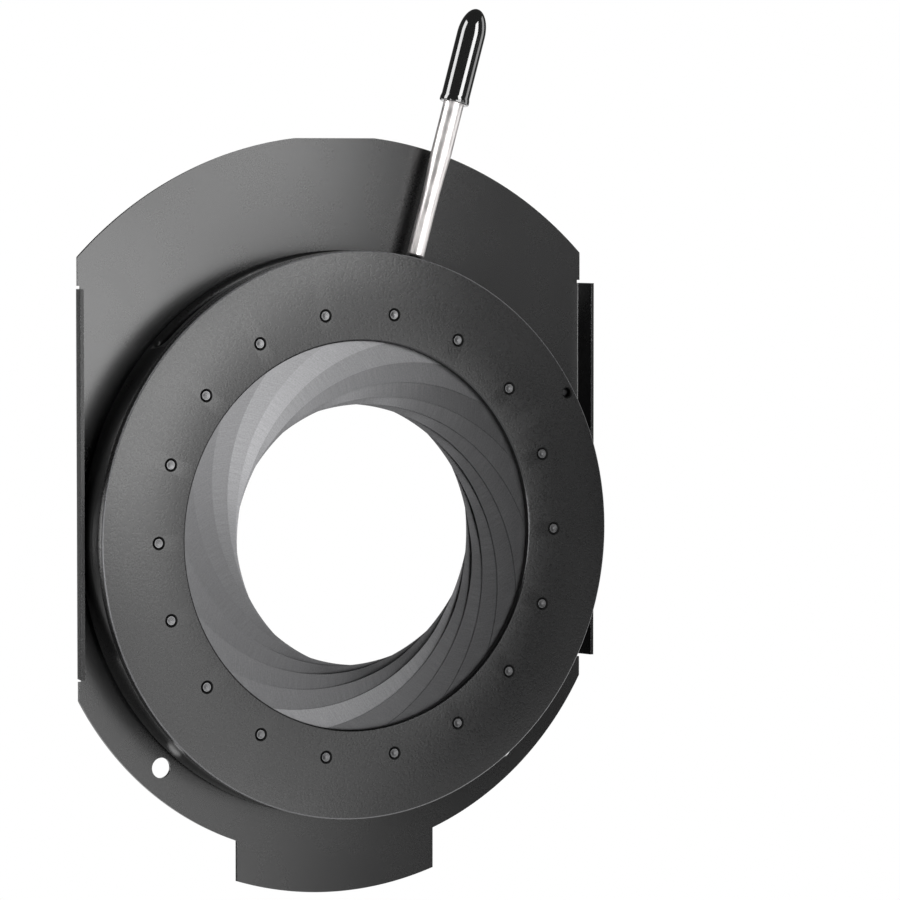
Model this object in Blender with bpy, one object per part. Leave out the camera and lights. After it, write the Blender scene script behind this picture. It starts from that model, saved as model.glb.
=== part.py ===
"""Drop-in iris diaphragm on a sheet-metal carrier, for the gate slot of an optical spot.

The optical axis is Y and the front of the iris faces -Y. X is to the right and Z is up,
as seen from the front. The origin is on the optical axis, in the rear face of the carrier
plate. Depths are "forward" distances: how far a face stands in front of that rear face.
Angles run anticlockwise as seen from the front, from +X towards +Z.

Eighteen crescent blades turn on pivots in the front cover. Their drive studs ride in the
slots of an actuator ring, and a lever turns that ring through a slot in the housing wall.
"""
import math

import bpy
import bmesh
from mathutils import Matrix, Vector

MM = 0.001
FULL_TURN = 2 * math.pi

# Fits
SEAT_GAP = 0.05 * MM          # joint line between parts that are screwed together
RUNNING_GAP = 0.3 * MM        # between the actuator ring and the housing round it
PIN_CLEARANCE = 0.06 * MM     # round a pivot pin, a drive stud or a screw
CUT_MARGIN = 1.0 * MM         # how far a cutter runs past the face it opens

# Carrier plate, bent from sheet
SHEET = 0.7 * MM
PLATE_MARGIN = 0.1 * MM       # how far the plate's sides lie outside the round body
SIDE_ABOVE = 56.03 * MM       # height above the axis at which a side meets the top arc
SIDE_BELOW = 31.47 * MM       # depth below the axis at which it meets the lower arc
TOP_FLAT_DROP = 0.5 * MM      # how much the flat on top takes off the arc
TAB_HALF_WIDTH = 22.4 * MM
TAB_DEPTH = 7.7 * MM          # how far the tab stands out of the lower arc
PLATE_HOLE_RADIUS = 2.05 * MM
PLATE_HOLE_OFFSET = 3.13 * MM # from the round body's edge out to the hole's centre
PLATE_HOLE_ANGLE = math.radians(49.31)  # below the horizontal
RAIL_TOP_INSET = 6.23 * MM    # from the side's top corner down to the rail
RAIL_BOTTOM_INSET = 4.47 * MM
RAIL_DEPTH = 3.9 * MM         # how far a rail stands in front of the plate
RAIL_FLARE = math.radians(12)
RAIL_BEND_RADIUS = 0.4 * MM
RAIL_ROOT_INSET = 0.63 * MM   # the bend starts this far inside the plate's edge
RELIEF = 0.6 * MM             # height of the relief notch at each end of a bend
BEND_STEPS = 5

# Round body on the plate
BORE_RADIUS = 39.0 * MM
RING_WIDTH = 18.0 * MM        # from the bore to the outside of the body
BODY_HEIGHT = 10.65 * MM      # from the plate's front face to the cover's face
WALL = 3.4 * MM
FLOOR = 1.2 * MM
COVER_RIM = 2.0 * MM
COVER_WEB = 1.2 * MM
EDGE_CHAMFER = 0.25 * MM
BORE_CHAMFER = 0.35 * MM
FOOT_INSET = 0.6 * MM         # undercut round the foot of the wall, clear of the rails' bends
FOOT_HEIGHT = 1.15 * MM
RING_STEPS = 96

# Countersunk screws that hold plate, housing and cover together, flush with the plate's back
SCREW_COUNT = 3
SCREW_START = math.radians(30)
SCREW_INSET = 1.65 * MM       # from the outside of the body to a screw's axis
SCREW_RADIUS = 0.9 * MM
SCREW_HEAD_RADIUS = 1.5 * MM
SCREW_FLUSH = 0.05 * MM       # a head lies this far below the plate's back
SCREW_SOCKET_RADIUS = 0.75 * MM
SCREW_SOCKET_DEPTH = 0.5 * MM
SCREW_TIP_RECESS = 1.1 * MM   # the tip stays this far behind the cover's face
OPEN_SCREW_HOLES = 1          # tapped holes that run out through the cover's face
SCREW_HOLE_SKIN = 0.7 * MM    # what the others leave standing under that face

# Blades
BLADE_COUNT = 18
PIVOT_FROM_BORE = 5.8 * MM
BLADE_BORE_GAP = 0.3 * MM     # open blades stay this far outside the bore
BLADE_WALL_GAP = 1.6 * MM     # and this far inside the housing wall
BLADE_THICKNESS = 0.07 * MM
BLADE_STEP_DROP = 0.18 * MM   # how much lower each blade lies than the next one
BLADE_TOP_GAP = 0.12 * MM     # between the cover and the blades' pivot ends
BLADE_CLOSED = math.radians(47.4)
BLADE_AT_REST = math.radians(17.0)
BLADE_SLICE = FULL_TURN / BLADE_COUNT / 3  # a share of the blades' pitch, so facets nest
TIP_RAYS = (0.0, 0.08, 0.35)   # extra sections in a round end, as shares of its half angle
PIN_RADIUS = 0.95 * MM
PIN_RECESS = 0.12 * MM
PIN_DOME = 0.25 * MM
PIN_COUNTERSINK = 0.27 * MM
STUD_FROM_BORE = 2.2 * MM     # where a drive stud's path comes nearest to the bore
STUD_ANGLE = math.radians(24) # between its arm and the line to the axis, blades open
STUD_RADIUS = 0.6 * MM
STUD_LENGTH = 1.7 * MM

# Actuator ring: it turns by RING_PER_BLADE for each unit that the blades turn
RING_PER_BLADE = 1 / 0.51
RING_BORE_GAP = 0.3 * MM      # the ring's bore stays this far outside the light path
BLADE_TO_RING = 0.16 * MM
SLOT_DEPTH = 2.4 * MM

# Lever
LEVER_AT_REST = math.radians(73.9)
LEVER_OPEN = math.radians(43.2) # where the rod would meet the top of the right rail
LEVER_STUD_RADIUS = 1.25 * MM
LEVER_STUD_GRIP = 4.5 * MM    # how deep the stud sits in the ring, and in the rod
ROD_GAP = 0.9 * MM            # from the housing wall out to the rod
ROD_THIN_RADIUS = 1.75 * MM
ROD_THICK_RADIUS = 2.1 * MM
ROD_LENGTH = 45.1 * MM
ROD_THIN_LENGTH = 13.7 * MM
ROD_TAPER_LENGTH = 8.0 * MM
CAP_LENGTH = 19.9 * MM
CAP_OVER_ROD = 12.9 * MM      # how much of the rod is inside the cap
CAP_RADIUS = 2.9 * MM
CAP_RIM_RADIUS = 3.05 * MM
CAP_NOSE = 5.5 * MM
LEVER_SLOT_MARGIN = math.radians(4.4)  # free travel left at each end of the slot
LEVER_SLOT_HALF_HEIGHT = 2.75 * MM

# Worked out from the sizes above; faces are forward distances
BODY_RADIUS = BORE_RADIUS + RING_WIDTH
PLATE_HALF_WIDTH = BODY_RADIUS + PLATE_MARGIN
TOP_ARC_RADIUS = math.hypot(PLATE_HALF_WIDTH, SIDE_ABOVE)
TOP_FLAT_HEIGHT = TOP_ARC_RADIUS - TOP_FLAT_DROP
LOWER_ARC_RADIUS = math.hypot(PLATE_HALF_WIDTH, SIDE_BELOW)
TAB_ARC_RADIUS = LOWER_ARC_RADIUS + TAB_DEPTH
RAIL_TOP = SIDE_ABOVE - RAIL_TOP_INSET
RAIL_BOTTOM = RAIL_BOTTOM_INSET - SIDE_BELOW
PLATE_HOLE_CIRCLE = BODY_RADIUS + PLATE_HOLE_OFFSET
SCREW_CIRCLE = BODY_RADIUS - SCREW_INSET
PLATE_FRONT = SHEET
FACE = PLATE_FRONT + BODY_HEIGHT
COVER_RIM_BACK = FACE - COVER_RIM
COVER_WEB_BACK = FACE - COVER_WEB
HOUSING_BACK = PLATE_FRONT + SEAT_GAP
HOUSING_FLOOR = PLATE_FRONT + FLOOR
WALL_INNER = BODY_RADIUS - WALL
BLADE_DROP = BLADE_STEP_DROP * BLADE_COUNT / FULL_TURN
PIVOT_CIRCLE = BORE_RADIUS + PIVOT_FROM_BORE
BLADE_INNER_RADIUS = BORE_RADIUS + BLADE_BORE_GAP
BLADE_OUTER_RADIUS = WALL_INNER - BLADE_WALL_GAP
STUD_ARM = PIVOT_CIRCLE + BORE_RADIUS + STUD_FROM_BORE
BLADE_MIDDLE_RADIUS = (BLADE_INNER_RADIUS + BLADE_OUTER_RADIUS) / 2
BLADE_END_RADIUS = (BLADE_OUTER_RADIUS - BLADE_INNER_RADIUS) / 2
SLOT_CLEARANCE = STUD_RADIUS + PIN_CLEARANCE
ROD_START = BODY_RADIUS + ROD_GAP
ROD_TAPER_START = ROD_START + ROD_THIN_LENGTH
ROD_TAPER_END = ROD_TAPER_START + ROD_TAPER_LENGTH
ROD_END = ROD_START + ROD_LENGTH
CAP_START = ROD_END - CAP_OVER_ROD
CAP_END = CAP_START + CAP_LENGTH


def turned(angle):
    """Rotation by an angle that runs anticlockwise as seen from the front."""
    return Matrix.Rotation(-angle, 4, "Y")


def at(radius, angle, forward=0.0):
    """Point at a polar place about the optical axis."""
    return Vector((radius * math.cos(angle), -forward, radius * math.sin(angle)))


def stud_place(blade_angle):
    """Polar place of a drive stud about the axis, its blade's pivot being at angle 0."""
    arm = STUD_ANGLE - blade_angle
    x = PIVOT_CIRCLE - STUD_ARM * math.cos(arm)
    z = STUD_ARM * math.sin(arm)
    return math.hypot(x, z), math.atan2(z, x) % FULL_TURN


def stud_run():
    """The stud's places in the actuator ring, from blades open to blades closed."""
    steps = 48
    run = []
    for step in range(steps + 1):
        blade_angle = BLADE_CLOSED * step / steps
        radius, angle = stud_place(blade_angle)
        run.append((radius, angle - blade_angle * RING_PER_BLADE))
    return run


def slot_shape():
    """Centre angle, half width, inner and outer radius of a slot that clears the run."""
    run = stud_run()
    angles = [angle for radius, angle in run]
    centre = (min(angles) + max(angles)) / 2
    sideways = max(abs(radius * math.sin(angle - centre)) for radius, angle in run)
    half_width = sideways + SLOT_CLEARANCE
    inner = min(radius for radius, angle in run) - SLOT_CLEARANCE
    outer = max(radius for radius, angle in run) + half_width
    return centre, half_width, inner, outer


def material(name, colour, roughness, metallic):
    made = bpy.data.materials.new(name)
    made.use_nodes = True
    shader = made.node_tree.nodes["Principled BSDF"]
    shader.inputs["Base Color"].default_value = (*colour, 1)
    shader.inputs["Roughness"].default_value = roughness
    shader.inputs["Metallic"].default_value = metallic
    return made


def add_object(name, mesh, finish=None):
    obj = bpy.data.objects.new(name, mesh)
    bpy.context.scene.collection.objects.link(obj)
    if finish and not mesh.materials:
        mesh.materials.append(finish)
    return obj


def mesh_from(name, bm, smooth_below=35):
    bmesh.ops.remove_doubles(bm, verts=bm.verts, dist=1e-6)
    bmesh.ops.recalc_face_normals(bm, faces=bm.faces)
    mesh = bpy.data.meshes.new(name)
    bm.to_mesh(mesh)
    bm.free()
    mesh.shade_smooth()
    mesh.set_sharp_from_angle(angle=math.radians(smooth_below))
    return mesh


def revolve(bm, profile, steps, place=None):
    """Turn a closed outline of (radius, forward) about the Y axis; radius 0 closes on it."""
    loops = []
    for step in range(steps):
        angle = FULL_TURN * step / steps
        loops.append([bm.verts.new(at(radius, angle, forward)) for radius, forward in profile])
    made = [vert for loop in loops for vert in loop]
    for step in range(steps):
        here, there = loops[step], loops[(step + 1) % steps]
        for i in range(len(profile)):
            j = (i + 1) % len(profile)
            if profile[i][0] > 0 or profile[j][0] > 0:
                bm.faces.new((here[i], here[j], there[j], there[i]))
    if place:
        bmesh.ops.transform(bm, matrix=place, verts=made)
    return made


def loft(bm, stations):
    """Skin a row of four-cornered sections, and close both ends."""
    rows = [[bm.verts.new(corner) for corner in section] for section in stations]
    for here, there in zip(rows, rows[1:]):
        for i in range(4):
            j = (i + 1) % 4
            bm.faces.new((here[i], here[j], there[j], there[i]))
    bm.faces.new(rows[0])
    bm.faces.new(rows[-1])


def cut(target, cutter):
    """Subtract a cutter object from a target, and keep the cutter out of the build."""
    cutter.hide_render = True
    cutter.display_type = "WIRE"
    boolean = target.modifiers.new("cut_" + cutter.name, "BOOLEAN")
    boolean.operation = "DIFFERENCE"
    boolean.solver = "EXACT"
    boolean.object = cutter


def evaluated_mesh(obj):
    graph = bpy.context.evaluated_depsgraph_get()
    graph.update()
    return bpy.data.meshes.new_from_object(obj.evaluated_get(graph))


def arc(radius, start, end, steps):
    """Points on an arc about the axis, both ends included."""
    return [at(radius, start + (end - start) * i / steps) for i in range(steps + 1)]


def half_outline():
    """Right half of the plate's outline, from the top middle down to the bottom middle."""
    top_start = math.asin(TOP_FLAT_HEIGHT / TOP_ARC_RADIUS)
    top_end = math.acos(PLATE_HALF_WIDTH / TOP_ARC_RADIUS)
    low_start = -math.acos(PLATE_HALF_WIDTH / LOWER_ARC_RADIUS)
    low_end = -math.acos(TAB_HALF_WIDTH / LOWER_ARC_RADIUS)
    tab_start = -math.acos(TAB_HALF_WIDTH / TAB_ARC_RADIUS)
    root = PLATE_HALF_WIDTH - RAIL_ROOT_INSET
    points = [Vector((0, 0, TOP_FLAT_HEIGHT))]
    points += arc(TOP_ARC_RADIUS, top_start, top_end, 14)
    points += [
        Vector((PLATE_HALF_WIDTH, 0, RAIL_TOP + RELIEF)),
        Vector((root, 0, RAIL_TOP + RELIEF)),
        Vector((root, 0, RAIL_TOP)),
        Vector((root, 0, RAIL_BOTTOM)),
        Vector((root, 0, RAIL_BOTTOM - RELIEF)),
        Vector((PLATE_HALF_WIDTH, 0, RAIL_BOTTOM - RELIEF)),
    ]
    points += arc(LOWER_ARC_RADIUS, low_start, low_end, 12)
    points += arc(TAB_ARC_RADIUS, tab_start, -math.pi / 2, 6)
    return points


def bend_rail(bm, side):
    """Fold the plate's side face forward into a rail; side is 1 at +X and -1 at -X."""
    root = PLATE_HALF_WIDTH - RAIL_ROOT_INSET
    middle = (RAIL_TOP + RAIL_BOTTOM) / 2
    for face in bm.faces:
        spot = face.calc_center_median()
        if abs(spot.x - side * root) < 1e-6 and abs(spot.z - middle) < 1e-6:
            fold = face
    centre = Vector((side * root, -PLATE_FRONT - RAIL_BEND_RADIUS, middle))
    bend = math.pi / 2 - RAIL_FLARE
    spun = bmesh.ops.spin(
        bm, geom=[fold], cent=centre, axis=(0, 0, 1), angle=-side * bend,
        steps=BEND_STEPS, use_merge=False, use_normal_flip=False, use_duplicate=False,
    )
    end = [item for item in spun["geom_last"] if isinstance(item, bmesh.types.BMFace)]
    reached = RAIL_BEND_RADIUS * (1 - math.cos(bend))
    straight = (RAIL_DEPTH - reached) / math.cos(RAIL_FLARE)
    along = Vector((side * math.sin(RAIL_FLARE), -math.cos(RAIL_FLARE), 0))
    grown = bmesh.ops.extrude_face_region(bm, geom=end)["geom"]
    tip = [item for item in grown if isinstance(item, bmesh.types.BMVert)]
    bmesh.ops.translate(bm, vec=along * straight, verts=tip)
    bmesh.ops.delete(bm, geom=[fold] + end, context="FACES_ONLY")


def screw_angles():
    return [SCREW_START + FULL_TURN * i / SCREW_COUNT for i in range(SCREW_COUNT)]


def screw_hole(high):
    """Outline of a countersunk hole from behind the plate's back up to a forward distance."""
    passage = SCREW_RADIUS + PIN_CLEARANCE
    cone = SCREW_HEAD_RADIUS + PIN_CLEARANCE + SCREW_FLUSH  # its radius in the plate's back
    low = -CUT_MARGIN
    return [(0, low), (cone - low, low), (passage, cone - passage), (passage, high), (0, high)]


def round_cutter(name, spots, profile, steps):
    """One cutter made of the same turned plug at each of the spots."""
    bm = bmesh.new()
    for spot in spots:
        revolve(bm, profile, steps, Matrix.Translation(spot))
    return add_object(name, mesh_from(name, bm))


def make_plate(finish):
    bm = bmesh.new()
    right = half_outline()
    left = [Vector((-point.x, 0, point.z)) for point in right[-2:0:-1]]
    front = bm.faces.new([bm.verts.new(point) for point in right + left])
    grown = bmesh.ops.extrude_face_region(bm, geom=[front])["geom"]
    moved = [item for item in grown if isinstance(item, bmesh.types.BMVert)]
    bmesh.ops.translate(bm, vec=(0, -PLATE_FRONT, 0), verts=moved)
    bend_rail(bm, 1)
    bend_rail(bm, -1)
    plate = add_object("carrier_plate", mesh_from("carrier_plate", bm), finish)

    low, high = -CUT_MARGIN, PLATE_FRONT + CUT_MARGIN
    opening = [(0, low), (BORE_RADIUS, low), (BORE_RADIUS, high), (0, high)]
    cut(plate, round_cutter("light_opening", [Vector()], opening, RING_STEPS))
    hole = [(0, low), (PLATE_HOLE_RADIUS, low), (PLATE_HOLE_RADIUS, high), (0, high)]
    right = -PLATE_HOLE_ANGLE
    spots = [at(PLATE_HOLE_CIRCLE, angle) for angle in (right, math.pi - right)]
    cut(plate, round_cutter("plate_holes", spots, hole, 24))
    spots = [at(SCREW_CIRCLE, angle) for angle in screw_angles()]
    cut(plate, round_cutter("plate_screw_holes", spots, screw_hole(high), 12))


def lever_slot_stations():
    """Sections of the cutter for the lever slot, which has round ends."""
    first = LEVER_OPEN - LEVER_SLOT_MARGIN
    to_closed = (BLADE_CLOSED - BLADE_AT_REST) * RING_PER_BLADE
    last = LEVER_AT_REST + to_closed + LEVER_SLOT_MARGIN
    inner, outer = WALL_INNER - CUT_MARGIN, BODY_RADIUS + CUT_MARGIN
    end = LEVER_SLOT_HALF_HEIGHT / BODY_RADIUS
    corners = [first + end * (1 - math.cos(math.pi / 2 * i / 4)) for i in range(4)]
    corners += [first + end + (last - first - 2 * end) * i / 24 for i in range(25)]
    corners += [last - end * (1 - math.cos(math.pi / 2 * i / 4)) for i in range(3, -1, -1)]
    stations = []
    for angle in corners:
        from_end = min(angle - first, last - angle, end) / end
        half = LEVER_SLOT_HALF_HEIGHT * math.sqrt(max(0.0, 1 - (1 - from_end) ** 2))
        stations.append([
            at(inner, angle, LEVER_PLANE - half),
            at(outer, angle, LEVER_PLANE - half),
            at(outer, angle, LEVER_PLANE + half),
            at(inner, angle, LEVER_PLANE + half),
        ])
    return stations


def make_housing(finish):
    top = COVER_RIM_BACK - SEAT_GAP
    bm = bmesh.new()
    revolve(bm, [
        (BORE_RADIUS, HOUSING_BACK),
        (BODY_RADIUS - FOOT_INSET, HOUSING_BACK),
        (BODY_RADIUS, HOUSING_BACK + FOOT_HEIGHT),
        (BODY_RADIUS, top),
        (WALL_INNER, top),
        (WALL_INNER, HOUSING_FLOOR),
        (BORE_RADIUS, HOUSING_FLOOR),
    ], RING_STEPS)
    housing = add_object("housing", mesh_from("housing", bm), finish)

    bm = bmesh.new()
    loft(bm, lever_slot_stations())
    cut(housing, add_object("lever_slot", mesh_from("lever_slot", bm)))
    spots = [at(SCREW_CIRCLE, angle) for angle in screw_angles()]
    hole = screw_hole(COVER_RIM_BACK + CUT_MARGIN)
    cut(housing, round_cutter("housing_screw_holes", spots, hole, 12))


def pivot_angles():
    return [FULL_TURN * i / BLADE_COUNT for i in range(BLADE_COUNT)]


def make_cover(finish):
    bm = bmesh.new()
    revolve(bm, [
        (BORE_RADIUS, COVER_WEB_BACK),
        (WALL_INNER, COVER_WEB_BACK),
        (WALL_INNER, COVER_RIM_BACK),
        (BODY_RADIUS, COVER_RIM_BACK),
        (BODY_RADIUS, FACE - EDGE_CHAMFER),
        (BODY_RADIUS - EDGE_CHAMFER, FACE),
        (BORE_RADIUS + BORE_CHAMFER, FACE),
        (BORE_RADIUS, FACE - BORE_CHAMFER),
    ], RING_STEPS)
    cover = add_object("front_cover", mesh_from("front_cover", bm), finish)

    low, high = COVER_RIM_BACK - CUT_MARGIN, FACE + CUT_MARGIN
    pivots = [at(PIVOT_CIRCLE, angle) for angle in pivot_angles()]
    screws = [at(SCREW_CIRCLE, angle) for angle in screw_angles()]
    for name, spots, radius in (
        ("pivot_holes", pivots, PIN_RADIUS),
        ("open_screw_holes", screws[:OPEN_SCREW_HOLES], SCREW_RADIUS),
    ):
        bore = radius + PIN_CLEARANCE
        mouth = bore + PIN_COUNTERSINK
        plug = [
            (0, low), (bore, low), (bore, FACE - PIN_COUNTERSINK),
            (mouth, FACE), (mouth, high), (0, high),
        ]
        cut(cover, round_cutter(name, spots, plug, 12))
    bore, end = SCREW_RADIUS + PIN_CLEARANCE, FACE - SCREW_HOLE_SKIN
    plug = [(0, low), (bore, low), (bore, end), (0, end)]
    cut(cover, round_cutter("blind_screw_holes", screws[OPEN_SCREW_HOLES:], plug, 12))


def make_screws(finish):
    socket = SCREW_FLUSH + SCREW_SOCKET_DEPTH
    cone_end = SCREW_FLUSH + SCREW_HEAD_RADIUS - SCREW_RADIUS
    tip = FACE - SCREW_TIP_RECESS
    profile = [
        (0, socket),
        (SCREW_SOCKET_RADIUS, socket),
        (SCREW_SOCKET_RADIUS, SCREW_FLUSH),
        (SCREW_HEAD_RADIUS, SCREW_FLUSH),
        (SCREW_RADIUS, cone_end),
        (SCREW_RADIUS, tip - SCREW_RADIUS * 0.4),
        (SCREW_RADIUS * 0.6, tip),
        (0, tip),
    ]
    bm = bmesh.new()
    revolve(bm, profile, 12)
    mesh = mesh_from("clamp_screw", bm)
    for number, angle in enumerate(screw_angles(), 1):
        screw = add_object(f"clamp_screw_{number}", mesh, finish)
        screw.location = at(SCREW_CIRCLE, angle)


def blade_ends():
    """Round ends of an open blade about the axis: centre, and direction into the blade."""
    stud_angle = stud_place(0)[1]
    return (
        (at(BLADE_MIDDLE_RADIUS, 0), at(1, math.pi / 2)),
        (at(BLADE_MIDDLE_RADIUS, stud_angle), at(1, stud_angle - math.pi / 2)),
    )


def closed_axis():
    """Where the optical axis lies in an open blade's frame once the blade has closed."""
    pivot = at(PIVOT_CIRCLE, 0)
    return pivot - turned(-BLADE_CLOSED) @ pivot


def blade_reach():
    """First and last ray from the closed axis that touch a blade, from its pivot's ray on."""
    reach = []
    for (centre, inward), side in zip(blade_ends(), (-1, 1)):
        to_centre = centre - closed_axis()
        angle = math.atan2(to_centre.z, to_centre.x)
        if side > 0:
            angle %= FULL_TURN
        half = math.asin(BLADE_END_RADIUS / to_centre.length)
        reach.append((angle + side * half + BLADE_CLOSED, half))
    return reach


def ring_crossing(start, ray, radius, centre=None):
    """Where a ray enters and leaves a circle, as distances along it; None if it misses."""
    offset = start - (centre or Vector())
    along = offset.dot(ray)
    square = along ** 2 + radius ** 2 - offset.length_squared
    return (-along - math.sqrt(square), -along + math.sqrt(square)) if square >= -1e-12 else None


def blade_span(ray):
    """Nearest and furthest distance along a ray from the closed axis that a blade covers."""
    start = closed_axis()
    low = ring_crossing(start, ray, BLADE_INNER_RADIUS)[1]
    high = ring_crossing(start, ray, BLADE_OUTER_RADIUS)[1]
    marks = []
    for centre, inward in blade_ends():
        rise, slope = start.dot(inward), ray.dot(inward)
        limit = -rise / slope if abs(slope) > 1e-9 else math.inf * rise
        if slope < 0:
            high = min(high, limit)
        else:
            low = max(low, limit)
    if low < high:
        marks += [low, high]
    for centre, inward in blade_ends():
        chord = ring_crossing(start, ray, BLADE_END_RADIUS, centre)
        if chord and chord[0] > 0:
            marks += chord
    return min(marks), max(marks)


def blade_stations():
    """Sections of a blade about its own pivot, along rays from the closed axis.

    A blade's height depends only on a ray's angle, so the closed blades nest like the
    steps of a spiral stair, each one step above the blade before it.
    """
    pivot = at(PIVOT_CIRCLE, 0)
    (first, first_half), (last, last_half) = blade_reach()
    turns = [first + share * first_half for share in TIP_RAYS]
    count = math.floor((last - TIP_RAYS[-1] * last_half) / BLADE_SLICE)
    turns += [index * BLADE_SLICE for index in range(count + 1)]
    turns += [last - share * last_half for share in reversed(TIP_RAYS)]
    stations = []
    for turn in turns:
        ray = at(1, turn - BLADE_CLOSED)
        share = min(max((turn - first) / first_half, 0), max((last - turn) / last_half, 0), 1)
        low, high = blade_span(ray) if share > 1e-6 else end_point(ray)
        root = closed_axis() - pivot
        front = Vector((0, -(BLADE_TOP - BLADE_DROP * turn), 0))
        back = front + Vector((0, BLADE_THICKNESS, 0))
        near, far = root + ray * low, root + ray * high
        stations.append([near + front, far + front, far + back, near + back])
    return stations


def end_point(ray):
    """The single distance at which a ray just touches the nearer round end."""
    ends = [centre - closed_axis() for centre, inward in blade_ends()]
    nearest = max(ends, key=lambda end: end.normalized().dot(ray))
    distance = nearest.dot(ray)
    return distance, distance


def blade_mesh(finish):
    """The crescent with its drive stud; both are one riveted part."""
    bm = bmesh.new()
    loft(bm, blade_stations())
    foil = add_object("blade_foil", mesh_from("blade_foil", bm), finish)
    bm = bmesh.new()
    radius, angle = stud_place(0)
    stud = at(radius, angle) - at(PIVOT_CIRCLE, 0)
    stud_front = BLADE_TOP - BLADE_DROP * stud_sweep()
    root = stud_front - BLADE_THICKNESS / 2
    tip = stud_front - BLADE_THICKNESS - STUD_LENGTH
    revolve(bm, [(0, tip), (STUD_RADIUS, tip), (STUD_RADIUS, root), (0, root)], 12,
            Matrix.Translation(stud))
    stud_object = add_object("blade_stud", mesh_from("blade_stud", bm), finish)
    union = foil.modifiers.new("rivet_stud", "BOOLEAN")
    union.operation = "UNION"
    union.solver = "EXACT"
    union.object = stud_object
    mesh = evaluated_mesh(foil)
    mesh.name = "blade"
    bpy.data.objects.remove(foil)
    bpy.data.objects.remove(stud_object)
    return mesh


def pivot_pin_mesh(finish):
    """A pivot pin: a plain shank with a domed end that shows in the cover's face."""
    top = FACE - PIN_RECESS
    base = BLADE_TOP + SEAT_GAP
    bm = bmesh.new()
    revolve(bm, [
        (0, base),
        (PIN_RADIUS, base),
        (PIN_RADIUS, top - PIN_DOME),
        (PIN_RADIUS * 0.75, top - PIN_DOME * 0.35),
        (PIN_RADIUS * 0.3, top),
        (0, top),
    ], 12)
    mesh = mesh_from("pivot_pin", bm, smooth_below=50)
    mesh.materials.append(finish)
    return mesh


def make_blades(foil_finish, pin_finish):
    foil = blade_mesh(foil_finish)
    pin = pivot_pin_mesh(pin_finish)
    for number, angle in enumerate(pivot_angles(), 1):
        pivot = bpy.data.objects.new(f"blade_pivot_{number:02d}", None)
        bpy.context.scene.collection.objects.link(pivot)
        pivot.location = at(PIVOT_CIRCLE, angle)
        pivot.rotation_euler = (0, -(angle + BLADE_AT_REST), 0)
        for kind, mesh in (("blade", foil), ("pivot_pin", pin)):
            piece = add_object(f"{kind}_{number:02d}", mesh)
            piece.parent = pivot


def make_actuator(finish):
    """The slotted ring, modelled with the blades open and turned to the rest pose."""
    outer = WALL_INNER - RUNNING_GAP
    inner = BORE_RADIUS + RING_BORE_GAP
    bm = bmesh.new()
    revolve(bm, [
        (inner, ACTUATOR_BACK), (outer, ACTUATOR_BACK),
        (outer, ACTUATOR_FRONT), (inner, ACTUATOR_FRONT),
    ], RING_STEPS)
    ring = add_object("actuator_ring", mesh_from("actuator_ring", bm), finish)
    ring.rotation_euler = (0, -BLADE_AT_REST * RING_PER_BLADE, 0)

    centre, half_width, slot_inner, slot_outer = slot_shape()
    bm = bmesh.new()
    for angle in pivot_angles():
        add_slot(bm, angle + centre, half_width, slot_inner, slot_outer)
    slots = add_object("drive_slots", mesh_from("drive_slots", bm))
    slots.parent = ring
    cut(ring, slots)

    bm = bmesh.new()
    tap = LEVER_STUD_RADIUS + PIN_CLEARANCE
    floor = outer - LEVER_STUD_GRIP - SEAT_GAP
    lever_line(bm, [(0, floor), (tap, floor), (tap, outer + CUT_MARGIN), (0, outer + CUT_MARGIN)], 12)
    tapped = add_object("lever_tapping", mesh_from("lever_tapping", bm))
    cut(ring, tapped)


def stud_sweep():
    """Angle that a blade spans about its closed axis, from its pivot to its drive stud."""
    radius, angle = stud_place(BLADE_CLOSED)
    return angle


def add_slot(bm, angle, half_width, inner, outer):
    """A blind slot that runs straight out from the axis, with round ends."""
    along, across = at(1, angle), at(1, angle + math.pi / 2)
    ends = ((outer - half_width, -math.pi / 2), (inner + half_width, math.pi / 2))
    rim = []
    for middle, start in ends:
        for step in range(7):
            turn = start + math.pi * step / 6
            spot = along * (middle + half_width * math.cos(turn))
            rim.append(spot + across * half_width * math.sin(turn))
    layers = [
        [bm.verts.new(spot + Vector((0, -forward, 0))) for spot in rim]
        for forward in (ACTUATOR_FRONT - SLOT_DEPTH, ACTUATOR_FRONT + CUT_MARGIN)
    ]
    bm.faces.new(layers[0])
    bm.faces.new(layers[1])
    for i in range(len(rim)):
        j = (i + 1) % len(rim)
        bm.faces.new((layers[0][i], layers[0][j], layers[1][j], layers[1][i]))


def lever_line(bm, profile, steps):
    """Turn an outline of (radius, distance from the optical axis) about the lever's line."""
    stand = Matrix.Rotation(LEVER_AT_REST, 4, "Y").inverted() @ Matrix.Rotation(math.pi / 2, 4, "Z")
    revolve(bm, profile, steps, Matrix.Translation((0, -LEVER_PLANE, 0)) @ stand)


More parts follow.
